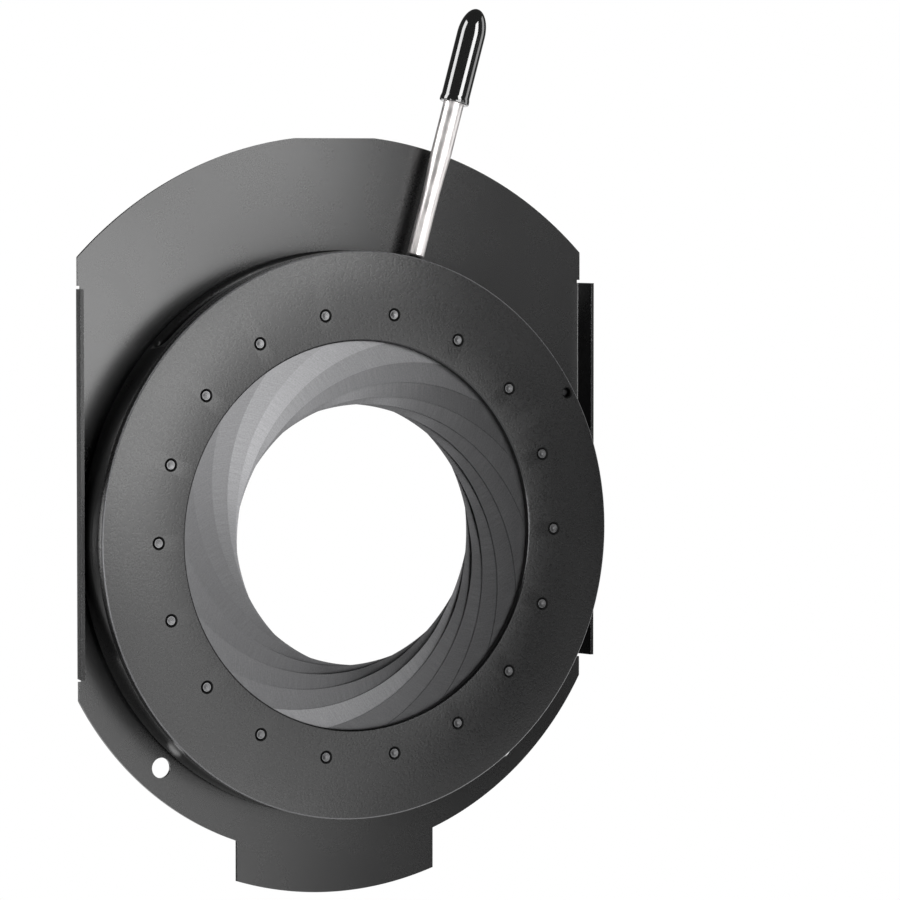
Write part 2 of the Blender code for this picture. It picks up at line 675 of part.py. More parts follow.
def make_lever(stud_finish, rod_finish, cap_finish):
    ring_edge = WALL_INNER - RUNNING_GAP
    stud_start = ring_edge - LEVER_STUD_GRIP
    stud_end = ROD_START + LEVER_STUD_GRIP
    chamfer = LEVER_STUD_RADIUS * 0.25
    bm = bmesh.new()
    lever_line(bm, [
        (0, stud_start),
        (LEVER_STUD_RADIUS - chamfer, stud_start),
        (LEVER_STUD_RADIUS, stud_start + chamfer),
        (LEVER_STUD_RADIUS, stud_end - chamfer),
        (LEVER_STUD_RADIUS - chamfer, stud_end),
        (0, stud_end),
    ], 12)
    add_object("lever_stud", mesh_from("lever_stud", bm), stud_finish)

    bore = LEVER_STUD_RADIUS + PIN_CLEARANCE
    bm = bmesh.new()
    lever_line(bm, [
        (0, stud_end + SEAT_GAP),
        (bore, stud_end + SEAT_GAP),
        (bore, ROD_START),
        (ROD_THIN_RADIUS - chamfer, ROD_START),
        (ROD_THIN_RADIUS, ROD_START + chamfer),
        (ROD_THIN_RADIUS, ROD_TAPER_START),
        (ROD_THICK_RADIUS, ROD_TAPER_END),
        (ROD_THICK_RADIUS, ROD_END - chamfer),
        (ROD_THICK_RADIUS - chamfer, ROD_END),
        (0, ROD_END),
    ], 24)
    add_object("lever_rod", mesh_from("lever_rod", bm), rod_finish)

    bore = ROD_THICK_RADIUS + SEAT_GAP
    nose = [
        (CAP_RADIUS * math.cos(turn), CAP_END - CAP_NOSE + CAP_NOSE * math.sin(turn))
        for turn in (math.pi / 2 * i / 6 for i in range(7))
    ]
    nose[-1] = (0, CAP_END)
    bm = bmesh.new()
    lever_line(bm, [
        (0, ROD_END + SEAT_GAP),
        (bore, ROD_END + SEAT_GAP),
        (bore, CAP_START),
        (CAP_RIM_RADIUS * 0.92, CAP_START),
        (CAP_RIM_RADIUS, CAP_START + 0.4 * MM),
        (CAP_RIM_RADIUS, CAP_START + 0.9 * MM),
        (CAP_RADIUS, CAP_START + 1.6 * MM),
    ] + nose, 24)
    add_object("lever_cap", mesh_from("lever_cap", bm), cap_finish)


# Heights inside the body, from the cover down to the actuator ring
BLADE_TOP = COVER_WEB_BACK - BLADE_TOP_GAP + BLADE_DROP * blade_reach()[0][0]
BLADE_BOTTOM = BLADE_TOP - BLADE_THICKNESS - BLADE_DROP * blade_reach()[1][0]
ACTUATOR_FRONT = BLADE_BOTTOM - BLADE_TO_RING
ACTUATOR_BACK = HOUSING_FLOOR + RUNNING_GAP
LEVER_PLANE = (ACTUATOR_FRONT + ACTUATOR_BACK) / 2


def build():
    for obj in list(bpy.data.objects):
        bpy.data.objects.remove(obj)
    black_paint = material("black_paint", (0.03, 0.03, 0.032), 0.45, 0.0)
    black_anodised = material("black_anodised", (0.035, 0.035, 0.037), 0.55, 0.6)
    blade_steel = material("blade_steel", (0.16, 0.16, 0.165), 0.42, 0.9)
    pin_steel = material("pin_steel", (0.6, 0.6, 0.6), 0.25, 1.0)
    black_steel = material("black_steel", (0.05, 0.05, 0.05), 0.4, 0.8)
    bright_steel = material("bright_steel", (0.72, 0.7, 0.69), 0.2, 1.0)
    black_vinyl = material("black_vinyl", (0.01, 0.01, 0.01), 0.15, 0.0)
    make_plate(black_paint)
    make_housing(black_anodised)
    make_cover(black_anodised)
    make_screws(black_steel)
    make_actuator(black_anodised)
    make_blades(blade_steel, pin_steel)
    make_lever(black_steel, bright_steel, black_vinyl)


build()
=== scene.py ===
"""Looks for the drop-in iris diaphragm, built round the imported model.

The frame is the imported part's own: the optical axis is Y, the front faces -Y, and the origin
lies on the axis in the rear face of the carrier plate. "Forward" distances run towards -Y.
Angles run anticlockwise as seen from the front, from +X towards +Z. Sizes repeat part.py.
"""
import math

import bpy
import bmesh
from mathutils import Matrix, Vector


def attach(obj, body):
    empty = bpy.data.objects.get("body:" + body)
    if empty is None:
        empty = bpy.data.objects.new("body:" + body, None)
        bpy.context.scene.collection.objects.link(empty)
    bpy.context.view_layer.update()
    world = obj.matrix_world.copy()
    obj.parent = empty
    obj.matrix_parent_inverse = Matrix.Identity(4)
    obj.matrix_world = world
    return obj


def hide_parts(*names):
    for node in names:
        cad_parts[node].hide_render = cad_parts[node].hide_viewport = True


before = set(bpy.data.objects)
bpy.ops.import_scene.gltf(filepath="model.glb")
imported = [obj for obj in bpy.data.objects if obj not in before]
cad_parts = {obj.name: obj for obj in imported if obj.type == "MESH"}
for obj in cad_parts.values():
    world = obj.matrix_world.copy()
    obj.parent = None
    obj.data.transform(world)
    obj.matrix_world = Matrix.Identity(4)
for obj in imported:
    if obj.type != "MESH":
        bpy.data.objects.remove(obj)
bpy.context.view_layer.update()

MM = 0.001
FULL_TURN = 2 * math.pi

# Allowances for rounding errors
SAME_PLACE = 1e-6
MERGE_DISTANCE = 1e-7
ROUNDING = 1e-9
ROUNDING_SQUARED = 1e-12

# Fits
SEAT_GAP = 0.05 * MM
RUNNING_GAP = 0.3 * MM
PIN_CLEARANCE = 0.06 * MM
CUT_MARGIN = 1.0 * MM

# Carrier plate
SHEET = 0.7 * MM
PLATE_MARGIN = 0.1 * MM
SIDE_ABOVE = 56.03 * MM
SIDE_BELOW = 31.47 * MM
TOP_FLAT_DROP = 0.5 * MM
TAB_HALF_WIDTH = 22.4 * MM
TAB_DEPTH = 7.7 * MM
PLATE_HOLE_RADIUS = 2.05 * MM
PLATE_HOLE_OFFSET = 3.13 * MM
PLATE_HOLE_ANGLE = math.radians(49.31)
RAIL_TOP_INSET = 6.23 * MM
RAIL_BOTTOM_INSET = 4.47 * MM
RAIL_DEPTH = 3.9 * MM
RAIL_FLARE = math.radians(12)
RAIL_BEND_RADIUS = 0.4 * MM
RAIL_ROOT_INSET = 0.63 * MM
RELIEF = 0.6 * MM

# Round body
BORE_RADIUS = 39.0 * MM
RING_WIDTH = 18.0 * MM
BODY_HEIGHT = 10.65 * MM
WALL = 3.4 * MM
FLOOR = 1.2 * MM
COVER_RIM = 2.0 * MM
COVER_WEB = 1.2 * MM
EDGE_CHAMFER = 0.25 * MM
BORE_CHAMFER = 0.35 * MM
FOOT_INSET = 0.6 * MM
FOOT_HEIGHT = 1.15 * MM

# Clamp screws
SCREW_COUNT = 3
SCREW_START = math.radians(30)
SCREW_INSET = 1.65 * MM
SCREW_RADIUS = 0.9 * MM
SCREW_HEAD_RADIUS = 1.5 * MM
SCREW_FLUSH = 0.05 * MM
SCREW_SOCKET_RADIUS = 0.75 * MM
SCREW_SOCKET_DEPTH = 0.5 * MM
SCREW_TIP_RECESS = 1.1 * MM
OPEN_SCREW_HOLES = 1
SCREW_HOLE_SKIN = 0.7 * MM

# Blades and pivots
BLADE_COUNT = 18
PIVOT_FROM_BORE = 5.8 * MM
BLADE_BORE_GAP = 0.3 * MM
BLADE_WALL_GAP = 1.6 * MM
BLADE_THICKNESS = 0.07 * MM
BLADE_STEP_DROP = 0.18 * MM
BLADE_TOP_GAP = 0.12 * MM
BLADE_CLOSED = math.radians(47.4)
BLADE_AT_REST = math.radians(17.0)
BLADE_SLICE = FULL_TURN / BLADE_COUNT / 16
TIP_RAYS = (0.0, 0.01, 0.04, 0.09, 0.16, 0.25, 0.36, 0.49, 0.64, 0.81)
PIN_RADIUS = 0.95 * MM
PIN_DOME = 0.25 * MM
PIN_COUNTERSINK = 0.27 * MM
STUD_FROM_BORE = 2.2 * MM
STUD_ANGLE = math.radians(24)
STUD_RADIUS = 0.6 * MM
STUD_LENGTH = 1.7 * MM

# Actuator ring
RING_PER_BLADE = 1 / 0.51
RING_BORE_GAP = 0.3 * MM
BLADE_TO_RING = 0.16 * MM
SLOT_DEPTH = 2.4 * MM

# Lever
LEVER_AT_REST = math.radians(73.9)
LEVER_OPEN = math.radians(43.2)
LEVER_STUD_RADIUS = 1.25 * MM
LEVER_STUD_GRIP = 4.5 * MM
ROD_GAP = 0.9 * MM
ROD_THIN_RADIUS = 1.75 * MM
ROD_THICK_RADIUS = 2.1 * MM
ROD_LENGTH = 45.1 * MM
ROD_THIN_LENGTH = 13.7 * MM
ROD_TAPER_LENGTH = 8.0 * MM
CAP_LENGTH = 19.9 * MM
CAP_OVER_ROD = 12.9 * MM
CAP_RADIUS = 2.9 * MM
CAP_RIM_RADIUS = 3.05 * MM
CAP_NOSE = 5.5 * MM
LEVER_SLOT_MARGIN = math.radians(4.4)
LEVER_SLOT_HALF_HEIGHT = 2.75 * MM

# Facets round turned parts, and steps along curves
RING_STEPS = 288
LEVER_STEPS = 96
PLATE_HOLE_STEPS = 64
SCREW_STEPS = 48
PIN_STEPS = 40
SMALL_HOLE_STEPS = 32
STUD_STEPS = 24
HEXAGON = 6
TOP_ARC_STEPS = 48
LOWER_ARC_STEPS = 40
TAB_ARC_STEPS = 20
BEND_STEPS = 12
SLOT_END_STEPS = 12
LEVER_SLOT_STEPS = 96
LEVER_SLOT_END_STEPS = 10
STUD_RUN_STEPS = 48
CAP_NOSE_STEPS = 24

# Worked out, as in part.py
BODY_RADIUS = BORE_RADIUS + RING_WIDTH
PLATE_HALF_WIDTH = BODY_RADIUS + PLATE_MARGIN
TOP_ARC_RADIUS = math.hypot(PLATE_HALF_WIDTH, SIDE_ABOVE)
TOP_FLAT_HEIGHT = TOP_ARC_RADIUS - TOP_FLAT_DROP
LOWER_ARC_RADIUS = math.hypot(PLATE_HALF_WIDTH, SIDE_BELOW)
TAB_ARC_RADIUS = LOWER_ARC_RADIUS + TAB_DEPTH
RAIL_TOP = SIDE_ABOVE - RAIL_TOP_INSET
RAIL_BOTTOM = RAIL_BOTTOM_INSET - SIDE_BELOW
RAIL_ROOT = PLATE_HALF_WIDTH - RAIL_ROOT_INSET
PLATE_HOLE_CIRCLE = BODY_RADIUS + PLATE_HOLE_OFFSET
SCREW_CIRCLE = BODY_RADIUS - SCREW_INSET
PLATE_FRONT = SHEET
FACE = PLATE_FRONT + BODY_HEIGHT
COVER_RIM_BACK = FACE - COVER_RIM
COVER_WEB_BACK = FACE - COVER_WEB
HOUSING_BACK = PLATE_FRONT + SEAT_GAP
HOUSING_FLOOR = PLATE_FRONT + FLOOR
WALL_INNER = BODY_RADIUS - WALL
BLADE_DROP = BLADE_STEP_DROP * BLADE_COUNT / FULL_TURN
PIVOT_CIRCLE = BORE_RADIUS + PIVOT_FROM_BORE
BLADE_INNER_RADIUS = BORE_RADIUS + BLADE_BORE_GAP
BLADE_OUTER_RADIUS = WALL_INNER - BLADE_WALL_GAP
STUD_ARM = PIVOT_CIRCLE + BORE_RADIUS + STUD_FROM_BORE
BLADE_MIDDLE_RADIUS = (BLADE_INNER_RADIUS + BLADE_OUTER_RADIUS) / 2
BLADE_END_RADIUS = (BLADE_OUTER_RADIUS - BLADE_INNER_RADIUS) / 2
SLOT_CLEARANCE = STUD_RADIUS + PIN_CLEARANCE
ROD_START = BODY_RADIUS + ROD_GAP
ROD_TAPER_START = ROD_START + ROD_THIN_LENGTH
ROD_TAPER_END = ROD_TAPER_START + ROD_TAPER_LENGTH
ROD_END = ROD_START + ROD_LENGTH
CAP_START = ROD_END - CAP_OVER_ROD
CAP_END = CAP_START + CAP_LENGTH

# Looks only: rounds on edges
EDGE_ROUND = 0.08 * MM
EDGE_ANGLE = math.radians(40)   # edges sharper than this are rounded
COVER_ROUND = 0.03 * MM
SCREW_ROUND = 0.06 * MM
CAP_ROUND = 0.05 * MM
ROUND_FULLNESS = 0.45           # how far the middle of a round is drawn to the corner
ROUND_NEEDS = 2.5               # a round's neighbours are at least this many times as long
NEARLY_STRAIGHT = 2.8           # radians; flatter corners stay as they are
LEAST_SLANT, MOST_SLANT = 0.3, 0.95     # forward part of a chamfer's normal

# Looks only: pins, screws, thread and cap
PIN_FACE_GAP = 0.02 * MM        # how far the pins' bright ends stay below the face
PIN_HEAD_RADIUS = 0.86 * MM
PIN_DISH = 0.12 * MM            # how far the pins' bright ends are hollow
PIN_MOUTH = 0.36 * MM           # width of the dark countersink round each pin
PIN_FOOT = 0.96                 # radius of a pin's foot, as a share of the pin's
PIN_FOOT_RISE = 0.04 * MM
PIN_SHOULDER = 0.98             # radius where the dome meets the end, as a share of the end's
PIN_SHOULDER_DROP = 0.35        # how far below the end, as a share of the dome's height
# Pins: a dark oxide flank, and a bright end whose tool grooves are painted dark as shade
PIN_BRIGHT = 0.99               # the end is bright within this share of its radius,
PIN_DEEPEST = 2.5               # and down to this many grooves below its hollow
PIN_GROOVE = 0.03 * MM          # depth of the tool grooves in a pin's end
GROOVE_SIDE = 0.02              # width of a groove's flank, as a share of the end's radius
TOOL_GROOVES = ((0.42, 0.50), (0.70, 0.78))     # inner and outer edge, as shares of it
PIN_RIM = ((1.0, 0.6), (0.97, 0.2), (0.92, 0.0))        # share of it, and depth in grooves
PIN_DIMPLE = ((0.24, 0.0), (0.20, 1.6), (0.10, 2.4), (0.0, 2.4))
SCREW_POINT = 0.4               # length of a screw's blunt point, in screw radii
SCREW_POINT_TIP = 0.6           # radius of its end, in screw radii
THREAD_PITCH = 0.45 * MM
THREAD_DEPTH = 0.22 * MM
THREAD_ROWS = 6                 # rows of points to a turn
THREAD_RUN_OUT = 4              # rows over which the thread fades at its ends
ROD_CHAMFER = 0.3 * MM
CAP_ROLL = (                    # rolled rim of the cap: radius, and distance from the mouth
    (0.92 * CAP_RIM_RADIUS, 0.0),
    (0.985 * CAP_RIM_RADIUS, 0.15 * MM),
    (CAP_RIM_RADIUS, 0.4 * MM),
    (CAP_RIM_RADIUS, 0.9 * MM),
    (1.02 * CAP_RADIUS, 1.25 * MM),
    (CAP_RADIUS, 1.6 * MM),
)

# Looks only: the blades' rolled steel, a painted highlight in their colour, and noise
BLADE_DULL = 0.8                # tone of a blade whose rolled grain doesn't catch the light
# Painted highlights in the blades' colour: where each lies round the axis, its spread, and how much
# it lightens
BLADE_PAINTED_HIGHLIGHTS = (                # round the axis: middle and spread of a gleam, and its gain
    (math.radians(80), math.radians(28), 1.1),
    (math.radians(120), math.radians(35), 0.35),
    (math.radians(240), math.radians(12), 0.8),
    (math.radians(5), math.radians(25), 0.35),
)
GRAIN_ANGLE = math.radians(50)  # rolling direction in an open blade
GRAIN_STRETCH = 0.04            # width of its lines as a share of their length
NOISE_LOW, NOISE_HIGH = 0.3, 0.7    # where the noise fields' values mostly lie

# Camera, fitted to the photograph
CAMERA_PLACE = Vector((-0.49730, -0.94190, 0.07361))
CAMERA_TARGET = Vector((0.02646, -0.00070, 0.01600))
CAMERA_LENS = 211.3
CAMERA_SENSOR = 36
CAMERA_CLIP = (0.05, 20)

# Stage: a white floor below the part, and a white backdrop seen from the camera
STAGE_GLOW = 0.97
STAGE_TONE = 0.8
STAGE_ROUGHNESS = 0.9
FLOOR_HEIGHT = -0.30
FLOOR_REACH = 1.2
FLOOR_BACK = 0.8                # short, so that the left rail's outer face doesn't mirror it
WORLD_LEVEL = 0.06              # brightness of the room round the part
BACKDROP_EDGE = 0.88            # cosine of the half angle that the backdrop fills in mirrors
BACKDROP_BLUR = 0.1

# Panels of one near softbox, which faces the part from where its front mirrors the camera:
# place to the right and up in the softbox's plane, width and height, all in millimetres, and
# radiance
SOFTBOX_DISTANCE = 150 * MM
SOFTBOX_LAYER = 2 * MM          # the panels overlap, so each lies this far behind the last
SOFTBOX = {
    "softbox_body": ((-70, 0), (140, 140), 2.3),
    "softbox_bright": ((-87.5, 52.5), (105, 105), 4.1),
    "softbox_top": ((-17.5, 87.5), (35, 35), 6.5),
    "softbox_foot": ((-60, -100), (90, 50), 2.4),
    "softbox_spill": ((0, 70), (140, 70), 0.3),
    "softbox_dim": ((52.5, 35), (35, 140), 0.3),
    "softbox_crown": ((-25, 170), (70, 110), 8.0),
}

# Other lamps: place and aim, width and height, all in millimetres, and radiance
LAMPS = {
    "strip_left": ((-272, 68, 240), (20, 0, 90), (160, 280), 6.0),
    "card_right": ((300, -80, 120), (20, 0, 90), (120, 300), 1.6),
    "wall_glint": ((-350, 600, -20), (0, 0, 0), (160, 160), 3.2),
    "edge_glint": ((-350, -200, -20), (0, 0, 0), (70, 220), 8.0),
}


# Places

def turned(angle):
    """Rotation by an angle that runs anticlockwise as seen from the front."""
    return Matrix.Rotation(-angle, 4, "Y")


def at(radius, angle, forward=0.0):
    """Point at a polar place about the optical axis."""
    return Vector((radius * math.cos(angle), -forward, radius * math.sin(angle)))


def stud_place(blade_angle):
    """Polar place of a drive stud about the axis, its blade's pivot being at angle 0."""
    arm = STUD_ANGLE - blade_angle
    x = PIVOT_CIRCLE - STUD_ARM * math.cos(arm)
    z = STUD_ARM * math.sin(arm)
    return math.hypot(x, z), math.atan2(z, x) % FULL_TURN


def screw_places():
    """Places of the clamp screws; the first one's hole is open in the cover's face."""
    angles = [SCREW_START + FULL_TURN * i / SCREW_COUNT for i in range(SCREW_COUNT)]
    return [at(SCREW_CIRCLE, angle) for angle in angles]


def cylinder(radius, low, high):
    """Outline of a plain cylinder between two forward distances."""
    return [(0, low), (radius, low), (radius, high), (0, high)]


def screw_hole(high):
    """Outline of a countersunk hole from behind the plate's back up to a forward distance."""
    passage = SCREW_RADIUS + PIN_CLEARANCE
    cone = SCREW_HEAD_RADIUS + PIN_CLEARANCE + SCREW_FLUSH
    low = -CUT_MARGIN
    return [(0, low), (cone - low, low), (passage, cone - passage), (passage, high), (0, high)]


def pivot_angles():
    """Angles of the blades' pivots."""
    return [FULL_TURN * i / BLADE_COUNT for i in range(BLADE_COUNT)]


# Mesh tools

def add_piece(name, mesh, material=None):
    """Put a mesh into the scene; one without materials takes the one that is given."""
    obj = bpy.data.objects.new(name, mesh)
    bpy.context.scene.collection.objects.link(obj)
    if material and not mesh.materials:
        mesh.materials.append(material)
    return obj


def add_finish(mesh, material):
    """Append a material to a mesh, and give its slot."""
    mesh.materials.append(material)
    return len(mesh.materials) - 1


def mesh_from(name, bm, smooth_below=35):
    """Turn a bmesh into a mesh that is shaded smooth across edges below an angle."""
    bmesh.ops.remove_doubles(bm, verts=bm.verts, dist=MERGE_DISTANCE)
    bmesh.ops.recalc_face_normals(bm, faces=bm.faces)
    mesh = bpy.data.meshes.new(name)
    bm.to_mesh(mesh)
    bm.free()
    mesh.shade_smooth()
    mesh.set_sharp_from_angle(angle=math.radians(smooth_below))
    return mesh


def revolve(bm, profile, steps, place=None):
    """Turn a closed outline of (radius, forward) about the Y axis; radius 0 closes on it."""
    loops = []
    for step in range(steps):
        angle = FULL_TURN * step / steps
        loops.append([bm.verts.new(at(radius, angle, forward)) for radius, forward in profile])
    made = [vert for loop in loops for vert in loop]
    for step in range(steps):
        here, there = loops[step], loops[(step + 1) % steps]
        for i in range(len(profile)):
            j = (i + 1) % len(profile)
            if profile[i][0] > 0 or profile[j][0] > 0:
                bm.faces.new((here[i], here[j], there[j], there[i]))
    if place:
        bmesh.ops.transform(bm, matrix=place, verts=made)


def rounded(profile, size):
    """Break each convex or concave corner of an outline with a small two-step round."""
    made = []
    for i, corner in enumerate(profile):
        corner = Vector(corner)
        near = Vector(profile[i - 1]) - corner
        far = Vector(profile[(i + 1) % len(profile)]) - corner
        too_short = min(near.length, far.length) < ROUND_NEEDS * size
        if corner.x <= ROUNDING or too_short or near.angle(far) > NEARLY_STRAIGHT:
            made.append(tuple(corner))
            continue
        first = corner + near.normalized() * size
        last = corner + far.normalized() * size
        middle = (first + last) / 2 * (1 - ROUND_FULLNESS) + corner * ROUND_FULLNESS
        made += [tuple(first), tuple(middle), tuple(last)]
    return made


def extrude(bm, faces, shift):
    """Extrude faces by a vector; the old ones stay."""
    grown = bmesh.ops.extrude_face_region(bm, geom=faces)["geom"]
    moved = [item for item in grown if isinstance(item, bmesh.types.BMVert)]
    bmesh.ops.translate(bm, vec=shift, verts=moved)


def loft(bm, stations):
    """Skin a row of four-cornered sections, and close both ends."""
    rows = [[bm.verts.new(corner) for corner in section] for section in stations]
    for here, there in zip(rows, rows[1:]):
        for i in range(4):
            j = (i + 1) % 4
            bm.faces.new((here[i], here[j], there[j], there[i]))
    bm.faces.new(rows[0])
    bm.faces.new(rows[-1])


def cutter(name, bm):
    """An object that cut() subtracts and removes."""
    return add_piece(name, mesh_from(name, bm))


def apply_all(obj):
    """Replace an object's mesh with what its modifiers make of it."""
    graph = bpy.context.evaluated_depsgraph_get()
    graph.update()
    mesh = bpy.data.meshes.new_from_object(obj.evaluated_get(graph))
    obj.modifiers.clear()
    mesh.name = obj.name
    obj.data = mesh


def cut(target, *tools):
    """Subtract cutter objects from a target for good."""
    for tool in tools:
        boolean = target.modifiers.new("cut", "BOOLEAN")
        boolean.operation = "DIFFERENCE"
        boolean.solver = "EXACT"
        boolean.object = tool
    apply_all(target)
    for tool in tools:
        bpy.data.objects.remove(tool)


def break_edges(obj, width, slot):
    """Round the sharp edges; the narrow new faces take their own material slot."""
    bevel = obj.modifiers.new("edges", "BEVEL")
    bevel.width = width
    bevel.segments = 2
    bevel.limit_method = "ANGLE"
    bevel.angle_limit = EDGE_ANGLE
    bevel.harden_normals = True
    bevel.material = slot
    apply_all(obj)


def plug(bm, spots, profile, steps):
    """Turn the same outline at each of several places."""
    for spot in spots:
        revolve(bm, profile, steps, Matrix.Translation(spot))


# Materials

def finish(name, colour, roughness, metallic=0.0, specular=0.5):
    """A plain material, with its node tree and shader."""
    made = bpy.data.materials.new(name)
    made.use_nodes = True
    shader = made.node_tree.nodes["Principled BSDF"]
    shader.inputs["Base Color"].default_value = (*colour, 1)
    shader.inputs["Roughness"].default_value = roughness
    shader.inputs["Metallic"].default_value = metallic
    shader.inputs["Specular IOR Level"].default_value = specular
    return made, made.node_tree, shader


def noise_field(tree, vector, scale, detail=2.0):
    """Noise of a scale in features to the unit of its coordinates."""
    node = tree.nodes.new("ShaderNodeTexNoise")
    node.inputs["Scale"].default_value = scale
    node.inputs["Detail"].default_value = detail
    tree.links.new(vector, node.inputs["Vector"])
    return node.outputs["Fac"]


def remap(tree, value, low, high, start=NOISE_LOW, end=NOISE_HIGH):
    """Spread a value that runs from start to end over low to high."""
    node = tree.nodes.new("ShaderNodeMapRange")
    node.inputs["From Min"].default_value = start
    node.inputs["From Max"].default_value = end
    node.inputs["To Min"].default_value = low
    node.inputs["To Max"].default_value = high
    tree.links.new(value, node.inputs["Value"])
    return node.outputs["Result"]


def math_node(tree, operation, first, second):
    """A sum, product or the like of two sockets or numbers."""
    node = tree.nodes.new("ShaderNodeMath")
    node.operation = operation
    for socket, value in zip(node.inputs, (first, second)):
        if isinstance(value, (int, float)):
            socket.default_value = value
        else:
            tree.links.new(value, socket)
    return node.outputs[0]


def scaled_colour(tree, colour, factor):
    """A colour made lighter or darker by a factor."""
    node = tree.nodes.new("ShaderNodeVectorMath")
    node.operation = "SCALE"
    node.inputs[0].default_value = colour
    tree.links.new(factor, node.inputs["Scale"])
    return node.outputs["Vector"]


def bump(tree, shader, height, distance):
    """Fine relief of a depth in metres."""
    node = tree.nodes.new("ShaderNodeBump")
    node.inputs["Distance"].default_value = distance
    node.inputs["Strength"].default_value = 1.0
    tree.links.new(height, node.inputs["Height"])
    tree.links.new(node.outputs["Normal"], shader.inputs["Normal"])


def object_coordinates(tree):
    """Places in the piece's own frame, in metres."""
    return tree.nodes.new("ShaderNodeTexCoord").outputs["Object"]


def grained(name, colour, roughness, metallic=0.0, specular=0.5, grain=0.12, grain_scale=2600,
            patch=0.02, depth=0.03 * MM):
    """A matte finish with a fine speckle and faint larger patches in its gloss."""
    made, tree, shader = finish(name, colour, roughness, metallic, specular)
    place = object_coordinates(tree)
    fine = noise_field(tree, place, grain_scale, detail=3.0)
    broad = noise_field(tree, place, scale=90.0)
    tint = scaled_colour(tree, colour, remap(tree, fine, 1 - grain, 1 + grain))
    tree.links.new(tint, shader.inputs["Base Color"])
    gloss = math_node(tree, "ADD", remap(tree, broad, roughness - patch, roughness + patch),
                      remap(tree, fine, -grain / 4, grain / 4))
    tree.links.new(gloss, shader.inputs["Roughness"])
    bump(tree, shader, fine, depth)
    return made


def add_tangent(material, amount):
    """Stretch the highlight across the first axis of the map called grain."""
    tree = material.node_tree
    shader = tree.nodes["Principled BSDF"]
    shader.inputs["Anisotropic"].default_value = amount
    tangent = tree.nodes.new("ShaderNodeTangent")
    tangent.direction_type = "UV_MAP"
    tangent.uv_map = "grain"
    tree.links.new(tangent.outputs["Tangent"], shader.inputs["Tangent"])


def brushed_blades():
    """Rolled, blackened steel: the grain runs one way in each blade's own frame, and each blade's
    colour is scaled by its painted highlight tone.
    """
    colour, roughness, rough_spread, speckle_spread = (0.082, 0.082, 0.084), 0.38, 0.03, 0.16
    made, tree, shader = finish("blade_foil_steel", colour, roughness, 1.0)
    flat = tree.nodes.new("ShaderNodeUVMap")
    flat.uv_map = "grain"
    stretch = tree.nodes.new("ShaderNodeMapping")
    stretch.inputs["Scale"].default_value = (GRAIN_STRETCH, 1.0, 1.0)
    tree.links.new(flat.outputs["UV"], stretch.inputs["Vector"])
    lines = noise_field(tree, stretch.outputs["Vector"], scale=5.0, detail=4.0)
    specks = noise_field(tree, flat.outputs["UV"], scale=3.0)
    both = math_node(tree, "ADD", lines, specks)
    # Painted highlight: each blade's tone scales its colour
    painted_highlight = tree.nodes.new("ShaderNodeAttribute")
    painted_highlight.attribute_name = "painted_highlight"
    speckle = remap(tree, both, 1 - speckle_spread, 1 + speckle_spread, 0.7, 1.3)
    tint = scaled_colour(tree, colour, math_node(tree, "MULTIPLY", speckle, painted_highlight.outputs["Fac"]))
    tree.links.new(tint, shader.inputs["Base Color"])
    gloss = remap(tree, lines, roughness - rough_spread, roughness + rough_spread)
    tree.links.new(gloss, shader.inputs["Roughness"])
    add_tangent(made, 0.7)
    bump(tree, shader, both, distance=0.003 * MM)
    return made


def turned_metal(name, colour, roughness, metallic=1.0):
    """Bare turned metal with faint tool marks and smudges."""
    made, tree, shader = finish(name, colour, roughness, metallic)
    place = object_coordinates(tree)
    marks = noise_field(tree, place, scale=9000.0, detail=3.0)
    smudge = noise_field(tree, place, scale=220.0, detail=3.0)
    gloss = remap(tree, smudge, roughness * 0.8, roughness * 1.25)
    tree.links.new(gloss, shader.inputs["Roughness"])
    tint = scaled_colour(tree, colour, remap(tree, smudge, 0.94, 1.04))
    tree.links.new(tint, shader.inputs["Base Color"])
    bump(tree, shader, marks, distance=0.002 * MM)
    return made


PLATE_PAINT = grained("plate_paint", (0.006, 0.006, 0.0062), 0.27, specular=0.58, grain=0.02,
                      patch=0.01, depth=0.004 * MM)
# Worn paint on the sheet's edges, made lighter still as a painted highlight along them
PLATE_EDGE_WEAR_AND_HIGHLIGHT = grained("plate_edge_wear_and_painted_highlight", (0.22, 0.22, 0.225), 0.35, metallic=0.3, grain=0.15)
RING_FINISH = grained("ring_anodised", (0.006, 0.006, 0.0062), 0.28, grain=0.12, patch=0.01)
# Painted highlight: a light grey on the cover's outer chamfer draws its bright edge line
RING_EDGE_HIGHLIGHT = grained("ring_edge_painted_highlight", (0.14, 0.14, 0.145), 0.33, metallic=0.4, grain=0.1)
BORE_EDGE = grained("bore_bright_edge", (0.045, 0.045, 0.046), 0.22, metallic=1.0, grain=0.1)
WALL_FINISH = grained("wall_anodised", (0.005, 0.005, 0.0052), 0.30, grain=0.1)
# Painted shade: a blacker, duller finish for the holes, the pins' countersinks and the bore's wall
HOLE_SHADE = grained("hole_painted_shade", (0.003, 0.003, 0.003), 0.5, specular=0.15, grain=0.05)
BLADE_STEEL = brushed_blades()
PIN_STEEL = turned_metal("pin_turned_steel", (0.13, 0.13, 0.133), 0.33)
add_tangent(PIN_STEEL, 0.6)
